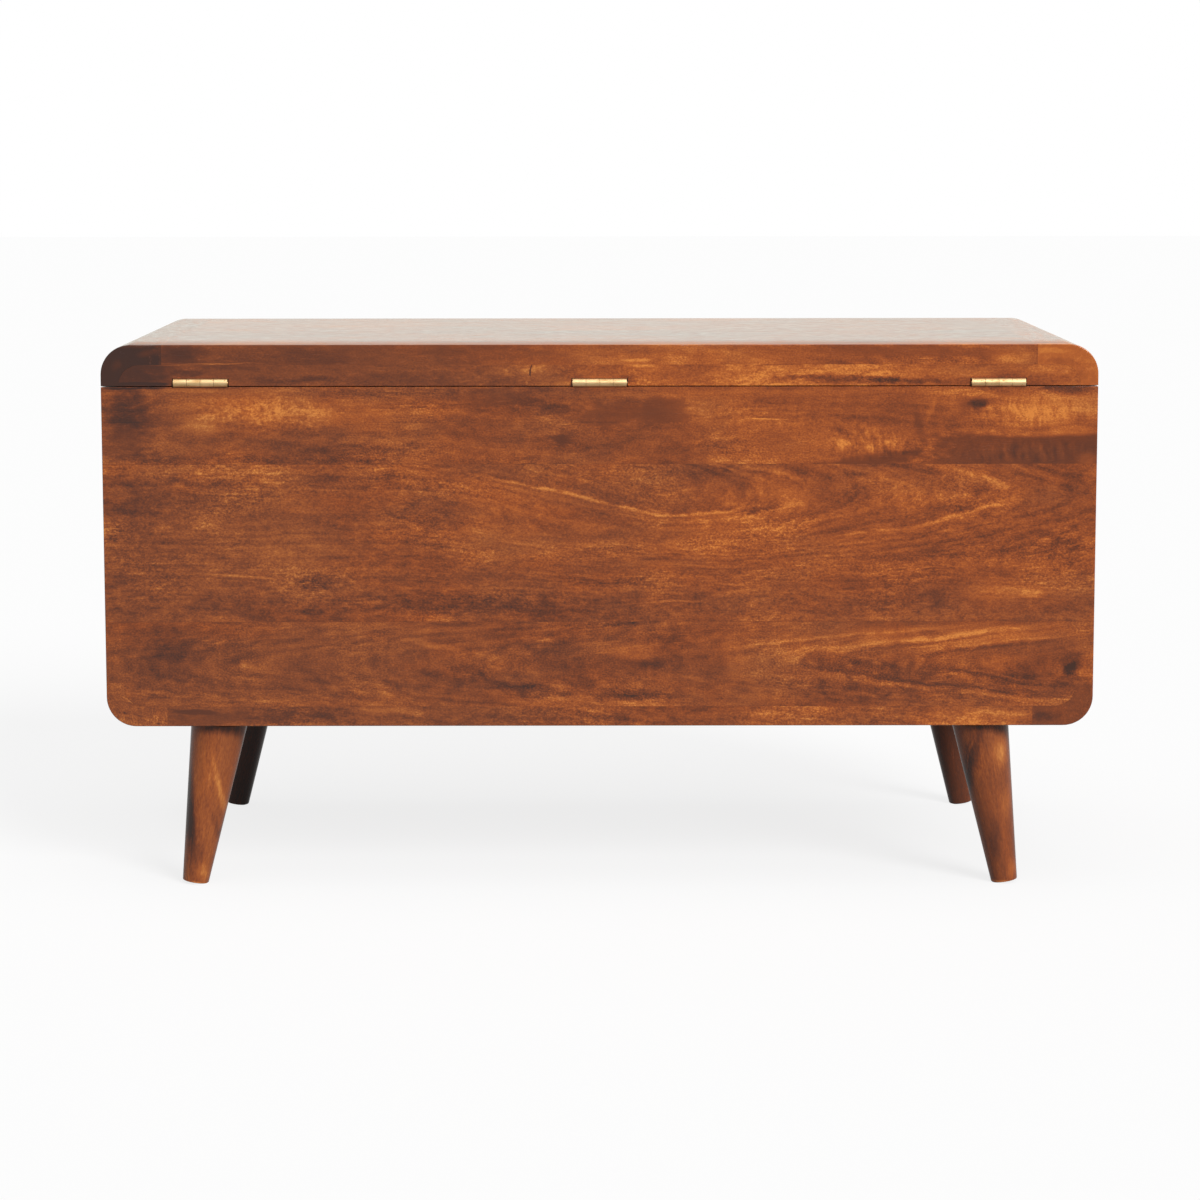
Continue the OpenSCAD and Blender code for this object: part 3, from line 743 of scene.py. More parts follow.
def board_numbers(node):
    """Seed, pith and tone of a board from its name, the same on each run."""
    chance = random.Random(node)
    seed = chance.uniform(1, 40)
    depth = chance.uniform(18, 60)
    aside = chance.uniform(-50, 50)
    tone = chance.uniform(0.45, 0.55)
    warmth = chance.uniform(0.35, 0.75)
    slope = chance.choice((-1, 1)) * chance.uniform(0.15, 0.35)
    return seed, depth, aside, tone, warmth, slope


def dress_plain_board(node, grain, face, joint_axis):
    """Wood of a board that takes its figure from its name alone."""
    low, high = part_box(node)
    middle = (low + high) / 2 / MM
    seed, depth, aside, tone, warmth, slope = board_numbers(node)
    width = ({0, 1, 2} - {face, grain}).pop()
    pith = [0.0, 0.0, 0.0]
    pith[face] = middle[face] + depth
    pith[width] = middle[width] + aside
    if grain == Y:
        pith = [middle[Y], pith[X], pith[Z]]
    joints = (joint_axis, low[joint_axis], high[joint_axis])
    dress_board(node, grain, seed, pith, tone, warmth, slope, ring_width=8.0, joints=joints)


# Marks in the wood of the back, and painted shade beside the seam and on the back legs

def mark_lowest_plank(marks):
    marks.warms((330, 210, 220, 60, -0.6), (250, 200, 280, 60, -0.5), (-370, 215, 120, 60, 0.4))
    marks.smudges(
        (330, 212, 220, 50, -0.1), (0, 215, 160, 50, -0.06), (-330, 188, 170, 20, -0.2),
        (-387, 203, 18, 10, -0.2), (-215, 207, 28, 10, -0.12), (392, 222, 26, 13, -0.16),
        (8, 226, 28, 12, 0.14), (-28, 222, 34, 11, 0.28), (-50, 206, 18, 9, -0.12),
        (-310, 236, 120, 14, 0.16), (-365, 238, 60, 14, 0.08), (412, 195, 40, 20, -0.07),
        (280, 216, 46, 34, 0.12), (20, 215, 110, 44, -0.1), (-205, 196, 80, 22, -0.13),
        (-30, 183, 42, 6, -0.24), (-25, 246, 46, 5, -0.14), (-76, 232, 12, 14, -0.16),
        (122, 203, 24, 7, -0.18), (70, 186, 38, 5, -0.2), (60, 204, 22, 7, 0.12), (145, 239, 56, 6, 0.14),
        (320, 216, 22, 12, -0.16), (-235, 214, 24, 9, -0.18), (-430, 211, 16, 11, -0.26),
        (-122, 212, 14, 24, 0.14), (-138, 179, 22, 6, 0.18), (-300, 237, 26, 5, -0.14),
        (52, 181, 34, 5, -0.22), (-32, 178, 50, 4, -0.2), (-246, 208, 28, 8, -0.14),
        (-432, 206, 12, 8, -0.22), (-188, 171, 14, 5, -0.2), (-215, 218, 14, 10, 0.12),
        (-250, 231, 22, 7, 0.16), (-45, 214, 26, 6, 0.12), (106, 246, 20, 8, 0.14),
        (-30, 248, 60, 5, -0.14), (60, 197, 20, 7, 0.14), (192, 190, 14, 7, -0.16),
        (-30, 180, 54, 5, -0.16), (-245, 204, 30, 7, -0.14), (-432, 205, 12, 10, -0.18),
        (-130, 173, 30, 4, 0.14), (90, 189, 44, 5, -0.14))
    marks.rings(
        (10.2, -400, -170, -0.22, 2.2), (14.5, -420, -170, 0.22, 3.4), (0, -420, -270, -0.22, 2.2),
        (4, -440, -270, 0.18, 3.2), (24, -330, -90, 0.14, 3.0))
    marks.smudges((155, 226, 40, 5, 0.2), lean=12)
    marks.smudges((118, 196, 30, 5, -0.18), lean=-12)


def mark_wide_plank(marks):
    marks.warms(
        (390, 300, 280, 120, -0.8), (-300, 345, 280, 90, 0.65), (-140, 345, 130, 60, 0.4),
        (420, 300, 60, 120, -0.3), (-385, 290, 110, 70, 0.4))
    marks.smudges(
        (120, 262, 360, 22, -0.14), (425, 355, 50, 40, -0.14), (-100, 380, 90, 26, -0.1),
        (-370, 320, 90, 40, -0.1), soft=1.0)
    marks.rings(
        (-44, -175, 130, 0.32, 2.4), (-37, -205, -60, 0.2, 4.5), (-50, -150, 60, -0.12, 3.0),
        (0, -400, -190, 0.26, 3.2), (-8, -370, -150, -0.1, 4.0), (-20, -330, -120, 0.12, 3.0))
    marks.smudges((-232, 384, 34, 9, -0.14), lean=-12)
    marks.smudges(
        (252, 380, 24, 9, -0.2), (-60, 365, 60, 12, -0.08), (-393, 272, 16, 6, 0.24),
        (-360, 300, 70, 8, 0.1), (262, 257, 14, 5, -0.14), (180, 262, 16, 6, -0.12),
        (343, 364, 54, 24, -0.13), (154, 340, 38, 50, -0.12), (66, 338, 80, 50, 0.13),
        (-125, 360, 84, 28, 0.17), (280, 320, 48, 28, 0.16), (-60, 316, 90, 28, 0.09),
        (-230, 322, 60, 26, 0.09), (412, 292, 46, 44, -0.11), (-290, 362, 50, 24, 0.08),
        (-148, 352, 36, 14, -0.24), (-245, 361, 52, 7, -0.12), (-330, 371, 26, 7, -0.12),
        (-375, 336, 38, 8, 0.12), (-420, 312, 22, 24, -0.18), (-290, 308, 110, 6, -0.12),
        (-370, 273, 76, 8, 0.12), (255, 287, 36, 12, -0.18), (262, 352, 42, 12, 0.12),
        (434, 361, 20, 10, 0.16), (440, 328, 12, 9, -0.16), (5, 335, 28, 8, 0.18), (-12, 314, 42, 6, -0.16),
        (-62, 319, 14, 6, 0.14), (-20, 286, 42, 6, -0.16), (148, 258, 22, 6, -0.14),
        (130, 388, 26, 4, 0.12), (-250, 386, 46, 5, 0.16), (262, 282, 18, 8, -0.12),
        (437, 322, 12, 10, -0.1), (-90, 352, 30, 8, -0.1), (-175, 352, 16, 9, 0.14),
        (-250, 265, 24, 9, -0.14), (20, 288, 16, 8, -0.12), (196, 379, 26, 10, -0.2),
        (-126, 350, 22, 8, -0.18), (-332, 352, 40, 5, -0.16), (-385, 312, 40, 6, -0.12),
        (-445, 381, 10, 10, 0.2), (245, 316, 26, 9, 0.12), (-85, 333, 70, 4, 0.12),
        (-282, 276, 70, 22, -0.1), (-356, 274, 44, 20, 0.12))
    marks.streaks(
        (336, 291, 46, 1.8, 0.26, 2), (-64, 266, 66, 1.6, 0.26, -2), (-120, 283, 30, 1.6, 0.2, 5),
        (-80, 300, 60, 2.2, 0.18, 2))
    marks.smudges((90, 262, 80, 10, -0.1), lean=3)


def mark_upper_planks(marks):
    marks.warms(
        (420, 420, 100, 70, -0.8), (180, 458, 260, 14, -0.6), (270, 402, 200, 40, -0.3),
        (-260, 430, 240, 70, 1.0), (-372, 440, 60, 30, 0.5), (-370, 404, 120, 18, -0.5))
    marks.smudges((185, 459, 130, 5, -0.16), soft=0.8)
    marks.smudges((318, 441, 92, 22, 0.42), soft=0.8, torn=1.2)
    marks.smudges((362, 424, 30, 10, 0.1), (225, 440, 60, 18, 0.14), (228, 400, 56, 20, -0.16))
    marks.ripples((305, 438, 96, 26, 0.9, 4.0, 3.0))
    marks.smudges((-190, 432, 110, 34, 0.12), soft=1.0)
    marks.stain(428, 425, 38, 60, 0.20, 0.65, soft=0.9, torn=1.2)
    marks.stain(100, 452, 60, 13, 0.28, 0.6, soft=0.9, torn=1.0)
    marks.stain(-18, 438, 68, 15, 0.34, 0.7, soft=0.6, torn=1.0, power=3.0)
    marks.stain(-58, 440, 24, 15, 0.28, 0.6, soft=0.3, torn=0.4, power=5.0)
    marks.stain(33, 415, 17, 9, 0.30, 0.7, soft=0.8, torn=1.0)
    # painted shade: a dark line just below the seam at its right end, beside the shadowed gap to the lid
    marks.smudges((420, 461.8, 34, 1.2, -0.5), soft=0.5, torn=0.1, power=6.0)
    marks.smudges((10, 420, 60, 36, -0.05), (-99, 440, 46, 24, 0.14))
    marks.smudges((-238, 414, 64, 18, 0.16), torn=1.2)
    marks.stain(-246, 394, 76, 9, 0.24, 0.85, lean=-8, soft=0.6, torn=0.8)
    marks.stain(-404, 402, 122, 22, 0.22, 0.8, soft=0.35, torn=0.5, power=6.0)
    marks.stain(-292, 428, 6, 26, 0.24, 0.6, lean=-14, soft=0.8)
    marks.smudges((-303, 440, 4, 16, 0.14), lean=12)
    marks.smudges((-320, 446, 60, 18, 0.12), (-415, 442, 64, 20, 0.36))
    marks.stain(-338, 447, 20, 9, 0.30, 0.6)
    marks.streaks((-150, 430.2, 26, 0.8, 0.4, 0))
    marks.smudges(
        (-125, 407, 40, 9, -0.12), (-226, 405, 46, 14, 0.12), (420, 440, 34, 26, -0.1),
        (60, 446, 44, 7, -0.12), (320, 459, 80, 4, 0.16), (-374, 438, 26, 17, 0.24),
        (-420, 459, 28, 8, -0.28), (-425, 423, 36, 7, 0.28), (-442, 394, 14, 10, 0.18),
        (-285, 405, 20, 8, -0.12), (60, 396, 14, 6, -0.14), (408, 397, 28, 12, -0.18),
        (255, 438, 26, 14, 0.16), (358, 430, 30, 9, 0.14), (335, 444, 50, 5, -0.1), (170, 447, 60, 6, -0.1),
        (40, 441, 22, 8, -0.14), (375, 389, 50, 6, -0.14), (372, 459, 42, 3, 0.2),
        (430, 438, 26, 24, -0.14), (306, 389, 26, 8, -0.18), (362, 438, 20, 5, -0.12),
        (360, 422, 30, 8, 0.14), (-342, 446, 12, 8, -0.16), (-420, 459, 22, 6, -0.12),
        (-380, 421, 60, 5, 0.12), (-155, 405, 60, 6, 0.1), (198, 392, 32, 8, -0.16),
        (184, 406, 34, 12, -0.1), (30, 412, 26, 14, -0.1), (-218, 417, 14, 7, -0.16),
        (-345, 448, 12, 6, -0.18), (-382, 434, 16, 6, -0.14), (-430, 434, 14, 7, -0.18),
        (-445, 384, 10, 12, 0.16))
    marks.smudges((310, 395, 140, 7, -0.18), (-120, 455, 180, 5, 0.13), soft=0.8)
    marks.ripples(
        (-244, 411, 62, 20, 1.2, 5.0, 16.0), (-240, 414, 70, 24, 0.6, 5.0, 4.0),
        (-385, 404, 80, 14, 0.7, 6.0, 16.0), (-385, 440, 80, 20, 0.9, 4.5, 16.0),
        (-150, 436, 110, 24, 0.5, 5.0, 4.0))


def mark_lid_rail(marks):
    marks.warms(
        (280, 474, 300, 60, -1.1), (180, 465, 300, 16, -0.6), (-200, 474, 260, 60, 0.7),
        (350, 482, 64, 1.6, -1.8))
    marks.smudges((185, 467, 140, 8, -0.14), (-215, 468, 110, 5, -0.24), (-289, 466, 30, 6, -0.08), soft=0.8)
    marks.smudges(
        (-258, 466, 28, 5, -0.18), (275, 467, 50, 5, -0.14), (45, 466, 26, 9, 0.16),
        (-385, 478, 36, 7, 0.24))
    marks.stain(240, 474, 260, 60, 0.26, 0.55, soft=0.6)
    marks.smudges((-200, 474, 260, 30, 0.22), soft=0.8)
    marks.stain(420, 474, 56, 30, 0.02, 0.8, soft=0.8)
    marks.smudges((370, 474, 18, 6, -0.2), soft=0.8)
    # painted shade: a dark line along the bottom of the rail at the right end of the seam, beside the
    # shadowed gap
    marks.smudges((418, 463.4, 33, 1.8, -0.8), soft=0.5, torn=0.1, power=6.0)
    marks.smudges(
        (-425, 474, 46, 24, 0.14), (62, 478, 22, 9, 0.2), (-35, 481, 20, 3, 0.34),
        (-320, 470, 60, 5, -0.12), (-225, 469, 96, 4, -0.16), (-262, 468, 30, 4, -0.14),
        (275, 469, 44, 4, -0.14), (330, 478, 36, 4, -0.1), (94, 476, 16, 6, 0.16), (28, 466, 20, 5, 0.18),
        (-25, 468, 12, 5, -0.22), (-52, 478, 20, 5, 0.12), (-345, 474, 24, 7, 0.1))
    marks.smudges((64, 478, 0.9, 6, -0.6), lean=6, soft=0.3, torn=0.2)
    marks.smudges((350, 481.9, 60, 0.8, 0.5), soft=0.8, torn=0.3)
    marks.streaks((-190, 481.6, 130, 0.7, -0.3, 0))


def mark_lid_board(marks):
    marks.warms((300, 490, 300, 60, -0.8), (-200, 490, 200, 60, 0.5), (350, 482, 64, 1.6, -1.8))
    marks.stain(250, 492, 270, 60, 0.27, 0.6, soft=0.6)
    marks.smudges(
        (-60, 489, 160, 30, 0.2), (-375, 489, 32, 14, 0.4), (-318, 490, 18, 8, -0.12),
        (325, 486, 34, 8, -0.1), (95, 484, 14, 5, 0.12))
    marks.stain(378, 491, 36, 18, 0.04, 0.8, soft=1.0)
    marks.smudges((-180, 488, 70, 10, 0.1), (260, 488, 60, 12, -0.08))
    marks.stain(-286, 494, 112, 7, 0.40, 0.6, soft=0.5)
    marks.smudges((350, 482.1, 60, 0.7, 0.4), soft=0.8, torn=0.3)
    marks.smudges((-36, 483.5, 20, 2.5, 0.34))


def mark_bottom_board(marks):
    marks.warms((360, 166, 60, 16, -0.6), (240, 162, 300, 30, -1.6))
    marks.stain(372, 165.5, 24, 3.2, 0.10, 0.8, soft=0.5)
    marks.stain(340, 160, 100, 14, 0.26, 0.6, soft=0.8)
    marks.smudges(
        (203, 166, 42, 5, 0.2), (-100, 160, 30, 5, 0.12), (20, 162, 110, 14, -0.14),
        (275, 162, 60, 14, -0.18))
    marks.smudges((-345, 160, 56, 14, 0.14), soft=0.4)


def mark_lower_right_block(marks):
    marks.warms((424, 170, 60, 60, -0.8))
    marks.smudges((433, 163, 1.6, 1.3, -0.4), (402, 157, 1.8, 1.4, -0.4), (383, 171, 2, 1.5, -0.3))
    marks.streaks((432, 176, 12, 1.2, 0.25, 25))


def mark_lower_left_block(marks):
    marks.stain(-424, 165, 60, 40, 0.26, 0.65, soft=0.5)
    marks.smudges((-404, 160, 18, 6, -0.16))


def mark_lid_right_block(marks):
    marks.stain(440, 484, 75, 60, -0.06, 0.95, soft=0.5)
    marks.smudges((416, 500, 34, 5, 0.12), (408, 492, 20, 6, 0.16), (437, 482, 10, 9, 0.12), soft=1.0)


def mark_lid_left_block(marks):
    marks.warms((-424, 484, 60, 40, 0.6))
    marks.stain(-424, 484, 60, 40, 0.80, 0.7, soft=0.4)
    marks.smudges((-408, 494, 26, 4, 0.14), (-418, 484, 22, 4, -0.12), torn=1.5)
    marks.smudges((-436, 476, 14, 12, -0.14), soft=1.0, torn=1.5)
    marks.smudges((-429, 472, 0.9, 8, -0.3), lean=-30, soft=0.3, torn=0.2)


def mark_back_right_leg(marks):
    # painted shade: the top of the leg, just under the box, is darker
    marks.smudges((352, 152, 50, 15, -0.42), soft=1.0)
    # painted shade: a dark band down the +X side of the leg, the side that faces away from the key lamp
    marks.smudges((381, 80, 12, 100, -0.75), lean=-6, soft=1.0)
    marks.smudges((350, 92, 5, 50, 0.34), lean=-8, soft=1.0)
    marks.smudges((370, 14, 9, 14, 0.34), lean=-7, soft=1.0)
    marks.smudges((352, 40, 5, 50, -0.2), lean=-12, soft=1.0)
    marks.smudges((375, 1.5, 30, 2.2, 0.35), soft=0.8)


def mark_back_left_leg(marks):
    # painted shade: the first patch darkens the top of the leg just under the box; the other two are paler
    # wood
    marks.smudges((-352, 152, 50, 15, -0.34), (-368, 124, 11, 22, 0.38), (-381, 14, 7, 14, 0.22), soft=1.0)
    # painted shade: a dark band down the +X side of the leg, the side that faces away from the key lamp
    marks.smudges((-340, 105, 11, 60, -0.48), lean=13, soft=1.0)
    marks.smudges((-341, 118, 1.4, 28, 0.2), lean=12, soft=0.6, torn=1.5)
    marks.smudges((-374, 75, 8, 36, 0.16), (-364, 40, 9, 34, -0.22), lean=9, soft=1.0)
    marks.smudges((-375, 1.5, 30, 2.2, 0.35), soft=0.8)


# Arches in the grain of two planks, as inputs of the Arched grain group, in metres
LOW_ARCHES = {
    "Opening": -1.0, "Tip": 0.287, "Flat From": 0.5, "Spread": 0.1, "Middle": 0.209, "Depth": 0.010,
}
WIDE_ARCHES = {
    "Opening": 1.0, "Tip": -0.379, "Flat From": -0.05, "Spread": 0.2, "Middle": 0.366, "Depth": 0.015,
    "Sweep": 0.06, "Sweep From": -0.159, "Sweep To": 0.2, "Straight Below": 0.27, "Arched Above": 0.345,
}

# Marks, seed, tone, warmth, pith, slope and arches of each plank
BACK_PLANKS = {
    "back_plank_1": (mark_lowest_plank, 4.1, 0.50, 0.50, (0, 0, -1000), 0.0, LOW_ARCHES),
    "back_plank_2": (mark_wide_plank, 9.0, 0.50, 0.55, (0, 0, -1000), 0.0, WIDE_ARCHES),
    "back_plank_3": (mark_upper_planks, 14.3, 0.51, 0.60, (0, 160, 380), 0.02, None),
    "back_plank_4": (mark_upper_planks, 14.3, 0.51, 0.60, (0, 160, 380), 0.02, None),
}


# Operators, one for each piece or group of like pieces

class CHEST_OT_back_planks(bpy.types.Operator):
    """Finish the four planks of the back with their marks"""
    bl_idname = "chest.back_planks"
    bl_label = "Back planks"

    def execute(self, context):
        for node, (mark, seed, tone, warmth, pith, slope, arches) in BACK_PLANKS.items():
            low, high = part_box(node)
            # the highest plank has no joint at the seam
            top = high.z if high.z < SEAM_LOW - MM else 2 * TOP
            dress_board(node, X, seed, pith, tone, warmth, slope, ring_width=6.0,
                        joints=(Z, low.z, top), mark=mark, arches=arches)
        return {"FINISHED"}


class CHEST_OT_front_planks(bpy.types.Operator):
    """Finish the three planks of the front"""
    bl_idname = "chest.front_planks"
    bl_label = "Front planks"

    def execute(self, context):
        for node in ("front_plank_low", "front_plank_middle", "front_plank_high"):
            dress_plain_board(node, X, Y, Z)
        return {"FINISHED"}


class CHEST_OT_side_boards(bpy.types.Operator):
    """Finish the boards of the left and right sides"""
    bl_idname = "chest.side_boards"
    bl_label = "Side boards"

    def execute(self, context):
        for side in ("left", "right"):
            for height in ("low", "middle", "high"):
                dress_plain_board(f"{side}_side_board_{height}", Y, X, Z)
        return {"FINISHED"}


class CHEST_OT_bottom_boards(bpy.types.Operator):
    """Finish the boards of the bottom"""
    bl_idname = "chest.bottom_boards"
    bl_label = "Bottom boards"

    def execute(self, context):
        for number in (1, 2, 3):
            dress_plain_board(f"bottom_board_{number}", X, Z, Y)
        dress_board("bottom_board_4", X, seed=21.5, pith=(0, 190, 130), warmth=0.6, slope=0.1,
                    ring_width=6.0, mark=mark_bottom_board)
        return {"FINISHED"}


class CHEST_OT_corner_blocks(bpy.types.Operator):
    """Finish the rounded corner blocks of the box and of the lid"""
    bl_idname = "chest.corner_blocks"
    bl_label = "Corner blocks"

    def execute(self, context):
        plans = {
            "lower_right_corner_block": (mark_lower_right_block, 0.50, 0.45, (0, 430, 60)),
            "lower_left_corner_block": (mark_lower_left_block, 0.46, 0.40, (0, -430, 60)),
            "lid_right_corner_block": (mark_lid_right_block, 0.46, 0.15, (0, 430, 400)),
            "lid_left_corner_block": (mark_lid_left_block, 0.54, 1.1, (0, -480, 400)),
        }
        for number, (node, (mark, tone, warmth, pith)) in enumerate(plans.items()):
            seed = 7.1 + 3.9 * number
            depth = LID_BLOCK_MARK_DEPTH if node.startswith("lid") else MARK_DEPTH
            dress_board(node, Y, seed, pith, tone, warmth, slope=0.02, ring_width=3.0, mark=mark,
                        mark_depth=depth)
        return {"FINISHED"}


class CHEST_OT_lid_boards(bpy.types.Operator):
    """Finish the boards of the lid top"""
    bl_idname = "chest.lid_boards"
    bl_label = "Lid boards"

    def execute(self, context):
        for number in (1, 2, 3):
            dress_plain_board(f"lid_board_{number}", X, Z, Y)
        dress_board("lid_board_4", X, seed=13.4, pith=(0, 180, 460), warmth=0.6, slope=0.12,
                    mark=mark_lid_board, mark_depth=LID_BOARD_MARK_DEPTH)
        return {"FINISHED"}


class CHEST_OT_lid_rails(bpy.types.Operator):
    """Finish the strips of the front and back that were sawn off with the lid"""
    bl_idname = "chest.lid_rails"
    bl_label = "Lid rails"

    def execute(self, context):
        dress_plain_board("lid_front_rail", X, Y, Z)
        dress_board("lid_back_rail", X, seed=31.9, pith=(0, 180, 500), tone=0.53, warmth=0.6, slope=0.1,
                    mark=mark_lid_rail)
        return {"FINISHED"}


class CHEST_OT_legs(bpy.types.Operator):
    """Finish the four turned legs, grain along each leg"""
    bl_idname = "chest.legs"
    bl_label = "Legs"

    def execute(self, context):
        plans = {
            # painted shade: the front legs, in the shadow under the box, get a far darker tone than the back
            # legs
            "front_left_leg": (None, 0.22, 0.9),
            "front_right_leg": (None, 0.04, 0.2),
            "back_left_leg": (mark_back_left_leg, 0.47, 0.4),
            "back_right_leg": (mark_back_right_leg, 0.56, 0.3),
        }
        for node, (mark, tone, warmth) in plans.items():
            low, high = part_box(node)
            # the way down along the leg, which splays far to its side and a little to the back or front
            lean = Vector((math.copysign(0.16, low.x), math.copysign(0.03, low.y), -1)).normalized()
            turn = lean.rotation_difference(Vector((1, 0, 0)))
            middle = turn @ ((low + high) / 2) / MM
            seed, depth, aside = board_numbers(node)[:3]
            pith = (middle.x, middle.y + aside * 0.3, middle.z + depth * 0.6)
            material = stained_wood(node, lean, seed, pith, tone, warmth, slope=0.05, ring_width=5.0,
                                    mark=mark, rub=False, stretch=2.6, calm=0.5, mark_depth=LEG_MARK_DEPTH)
            dress(node, material)
            ease_all_edges(node, width=1.0 * MM)
        return {"FINISHED"}


class CHEST_OT_dowels(bpy.types.Operator):
    """Finish the dowels inside the box and the lid"""
    bl_idname = "chest.dowels"
    bl_label = "Dowels"

    def execute(self, context):
        for node in ("box_dowels", "lid_dowels"):
            dress(node, beech())
        return {"FINISHED"}


class CHEST_OT_leg_fixings(bpy.types.Operator):
    """Finish the bolts and threaded inserts of the legs"""
    bl_idname = "chest.leg_fixings"
    bl_label = "Leg fixings"

    def execute(self, context):
        dress("leg_bolts", steel())
        dress("leg_inserts", brass())
        return {"FINISHED"}


class CHEST_OT_hinges(bpy.types.Operator):
    """Finish the leaves, pins and screws of the three butt hinges"""
    bl_idname = "chest.hinges"
    bl_label = "Hinges"

    def execute(self, context):
        for place in ("left", "middle", "right"):
            for part in ("hinge_box_leaf", "hinge_lid_leaf", "hinge_pin"):
                node = f"{place}_{part}"
                dress(node, brass())
                ease_all_edges(node, width=0.12 * MM)
        for node in ("box_hinge_screws", "lid_hinge_screws"):
            dress(node, brass())
        return {"FINISHED"}


class CHEST_OT_lid_stay(bpy.types.Operator):
    """Finish the slotted lid stay and its fittings"""
    bl_idname = "chest.lid_stay"
    bl_label = "Lid stay"

    def execute(self, context):
        for node in ("stay_arm", "stay_lid_bracket", "stay_post", "stay_shoulder_screw", "stay_rivet"):
            dress(node, brass())
            ease_all_edges(node, width=0.25 * MM)
        dress("stay_bracket_screws", brass())
        return {"FINISHED"}


class CHEST_OT_stage(bpy.types.Operator):
    """Make the floor, the soft studio light and the camera"""
    bl_idname = "chest.stage"
    bl_label = "Stage"

    def execute(self, context):
        make_floor()
        light_studio()
        place_camera()
        context.scene.view_settings.view_transform = "Standard"
        return {"FINISHED"}


def make_floor():
    """Pale floor that looks white and keeps the shadow of the chest."""
    reach = 20.0
    lit_share, own_light, mirrored_share = 0.18, 0.9, 0.3
    bounced_grey = (0.28, 0.28, 0.28, 1)
    mesh = bpy.data.meshes.new("floor")
    corners = [(-reach, -reach, 0), (reach, -reach, 0), (reach, reach, 0), (-reach, reach, 0)]
    mesh.from_pydata(corners, [], [(0, 1, 2, 3)])
    floor = bpy.data.objects.new("floor", mesh)
    bpy.context.scene.collection.objects.link(floor)
    material, t = new_material("Floor")
    colour = bpy.context.scene.chest_stage.floor
    seen = t.node("ShaderNodeLightPath").outputs
    shown = t.added(seen["Is Camera Ray"], seen["Is Glossy Ray"], mirrored_share)
    lit = t.node("ShaderNodeBsdfDiffuse", {"Color": (*[c * lit_share for c in colour], 1)})
    glow = t.node("ShaderNodeEmission", {"Color": (*colour, 1), "Strength": own_light})
    bright = t.node("ShaderNodeAddShader", {0: lit.outputs[0], 1: glow.outputs[0]})
    dull = t.node("ShaderNodeBsdfDiffuse", {"Color": bounced_grey})
    t.node("ShaderNodeOutputMaterial", {"Surface": t.mixed_shader(shown, dull, bright)})
    mesh.materials.append(material)


def sun(name, strength, azimuth, elevation, softness):
    """A distant lamp. Azimuth is turned from +Y towards -X. All angles are in degrees."""
    data = bpy.data.lights.new(name, "SUN")
    data.energy = strength
    data.angle = math.radians(softness)
    lamp = bpy.data.objects.new(name, data)
    bpy.context.scene.collection.objects.link(lamp)
    a, e = math.radians(azimuth), math.radians(elevation)
    towards = Vector((-math.sin(a) * math.cos(e), math.cos(a) * math.cos(e), math.sin(e)))
    lamp.rotation_euler = towards.to_track_quat("Z", "Y").to_euler()
    lamp.location = towards


def light_studio():
    """Two soft lamps and an even room. The camera sees white, and so do reflections of the
    ceiling and of the backdrop. The rest of the room reflects as a soft grey."""
    stage = bpy.context.scene.chest_stage
    sun("key", stage.key, azimuth=32, elevation=29, softness=24)
    sun("overhead", stage.overhead, azimuth=0, elevation=80, softness=60)
    world = bpy.data.worlds.new("Studio")
    bpy.context.scene.world = world
    world.use_nodes = True
    world.node_tree.nodes.clear()
    t = Tree(world.node_tree)
    seen = t.node("ShaderNodeLightPath").outputs
    ceiling_share, room_grey = 0.5, 0.35
    plain_white, warm_white = (1, 1, 1, 1), (0.98, 1.0, 0.94, 1)
    white = t.larger(seen["Is Camera Ray"], seen["Is Transmission Ray"])
    direction = t.split(t.node("ShaderNodeTexCoord").outputs["Generated"])
    backdrop = t.rise(direction[Y], -0.3, -0.8)
    ceiling = t.times(t.rise(direction[Z], 0.2, 0.8), ceiling_share)
    pale = t.added(room_grey, t.larger(backdrop, ceiling), 1 - room_grey)
    mirrored = t.times(seen["Is Glossy Ray"], pale)
    shown = t.larger(white, seen["Is Glossy Ray"])
    level = t.larger(white, mirrored)
    room = t.node("ShaderNodeBackground", {"Color": plain_white, "Strength": stage.ambient})
    tint = t.mix(mirrored, plain_white, warm_white)
    view = t.node("ShaderNodeBackground", {"Color": tint, "Strength": level})
    t.node("ShaderNodeOutputWorld", {"Surface": t.mixed_shader(shown, room, view)})


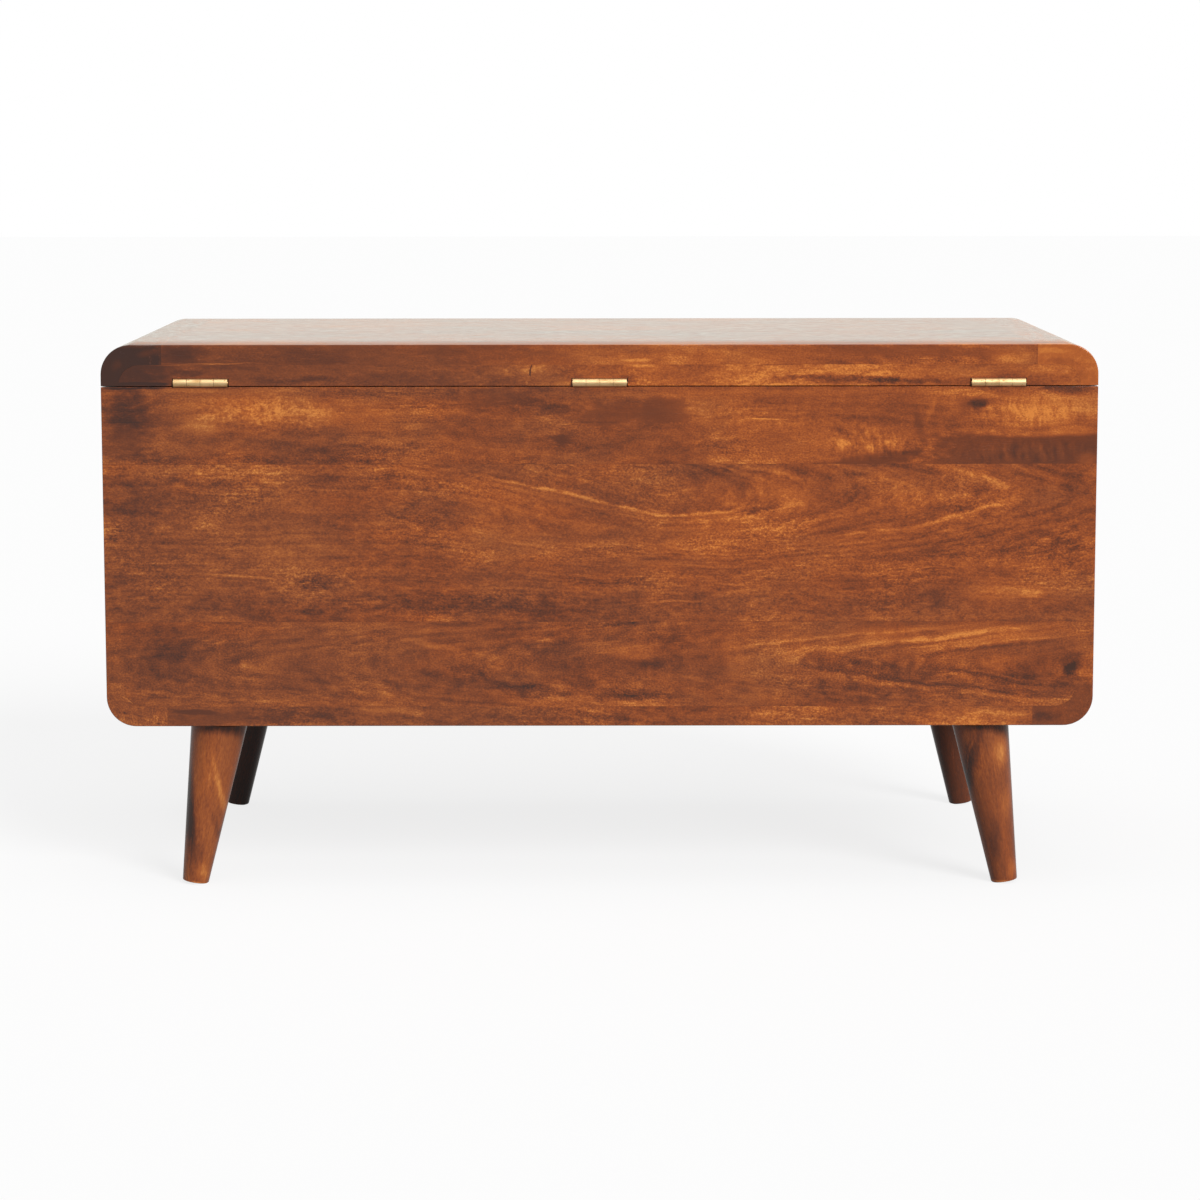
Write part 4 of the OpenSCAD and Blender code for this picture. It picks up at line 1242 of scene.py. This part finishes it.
def place_camera():
    """Looks at the back of the chest from slightly above. Its place is in metres and its turns
    are in degrees."""
    place = (0.0075, 3.4085, 0.691)
    downward, roll, sideways = 7.57, 0.05, 0.144
    data = bpy.data.cameras.new("camera")
    data.lens = bpy.context.scene.chest_stage.lens
    data.sensor_width = 36
    camera = bpy.data.objects.new("camera", data)
    bpy.context.scene.collection.objects.link(camera)
    camera.location = place
    camera.rotation_euler = [math.radians(turn) for turn in (90 - downward, roll, 180 - sideways)]
    bpy.context.scene.camera = camera


class CHEST_PT_finishes(bpy.types.Panel):
    """Lists the sizes, colours and steps in the sidebar"""
    bl_idname = "CHEST_PT_finishes"
    bl_label = "Blanket chest"
    bl_space_type = "VIEW_3D"
    bl_region_type = "UI"
    bl_category = "Chest"

    def draw(self, context):
        layout = self.layout
        for group in (context.scene.chest_wood, context.scene.chest_metal, context.scene.chest_stage):
            box = layout.box()
            for name in group.__annotations__:
                box.prop(group, name)
        for step in STEPS:
            layout.operator(step.bl_idname)


SETTINGS = {"chest_wood": ChestWood, "chest_metal": ChestMetal, "chest_stage": ChestStage}
STEPS = (
    CHEST_OT_back_planks, CHEST_OT_front_planks, CHEST_OT_side_boards, CHEST_OT_bottom_boards,
    CHEST_OT_corner_blocks, CHEST_OT_lid_boards, CHEST_OT_lid_rails, CHEST_OT_legs,
    CHEST_OT_dowels, CHEST_OT_leg_fixings, CHEST_OT_hinges, CHEST_OT_lid_stay, CHEST_OT_stage,
)


def register():
    for group in SETTINGS.values():
        bpy.utils.register_class(group)
    for step in STEPS:
        bpy.utils.register_class(step)
    bpy.utils.register_class(CHEST_PT_finishes)
    for name, group in SETTINGS.items():
        setattr(bpy.types.Scene, name, PointerProperty(type=group))


def unregister():
    for name in SETTINGS:
        delattr(bpy.types.Scene, name)
    bpy.utils.unregister_class(CHEST_PT_finishes)
    for step in reversed(STEPS):
        bpy.utils.unregister_class(step)
    for group in SETTINGS.values():
        bpy.utils.unregister_class(group)


def main():
    """Registers the add-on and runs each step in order."""
    register()
    for step in STEPS:
        getattr(bpy.ops.chest, step.bl_idname.split(".")[1])()


if __name__ == "__main__":
    main()
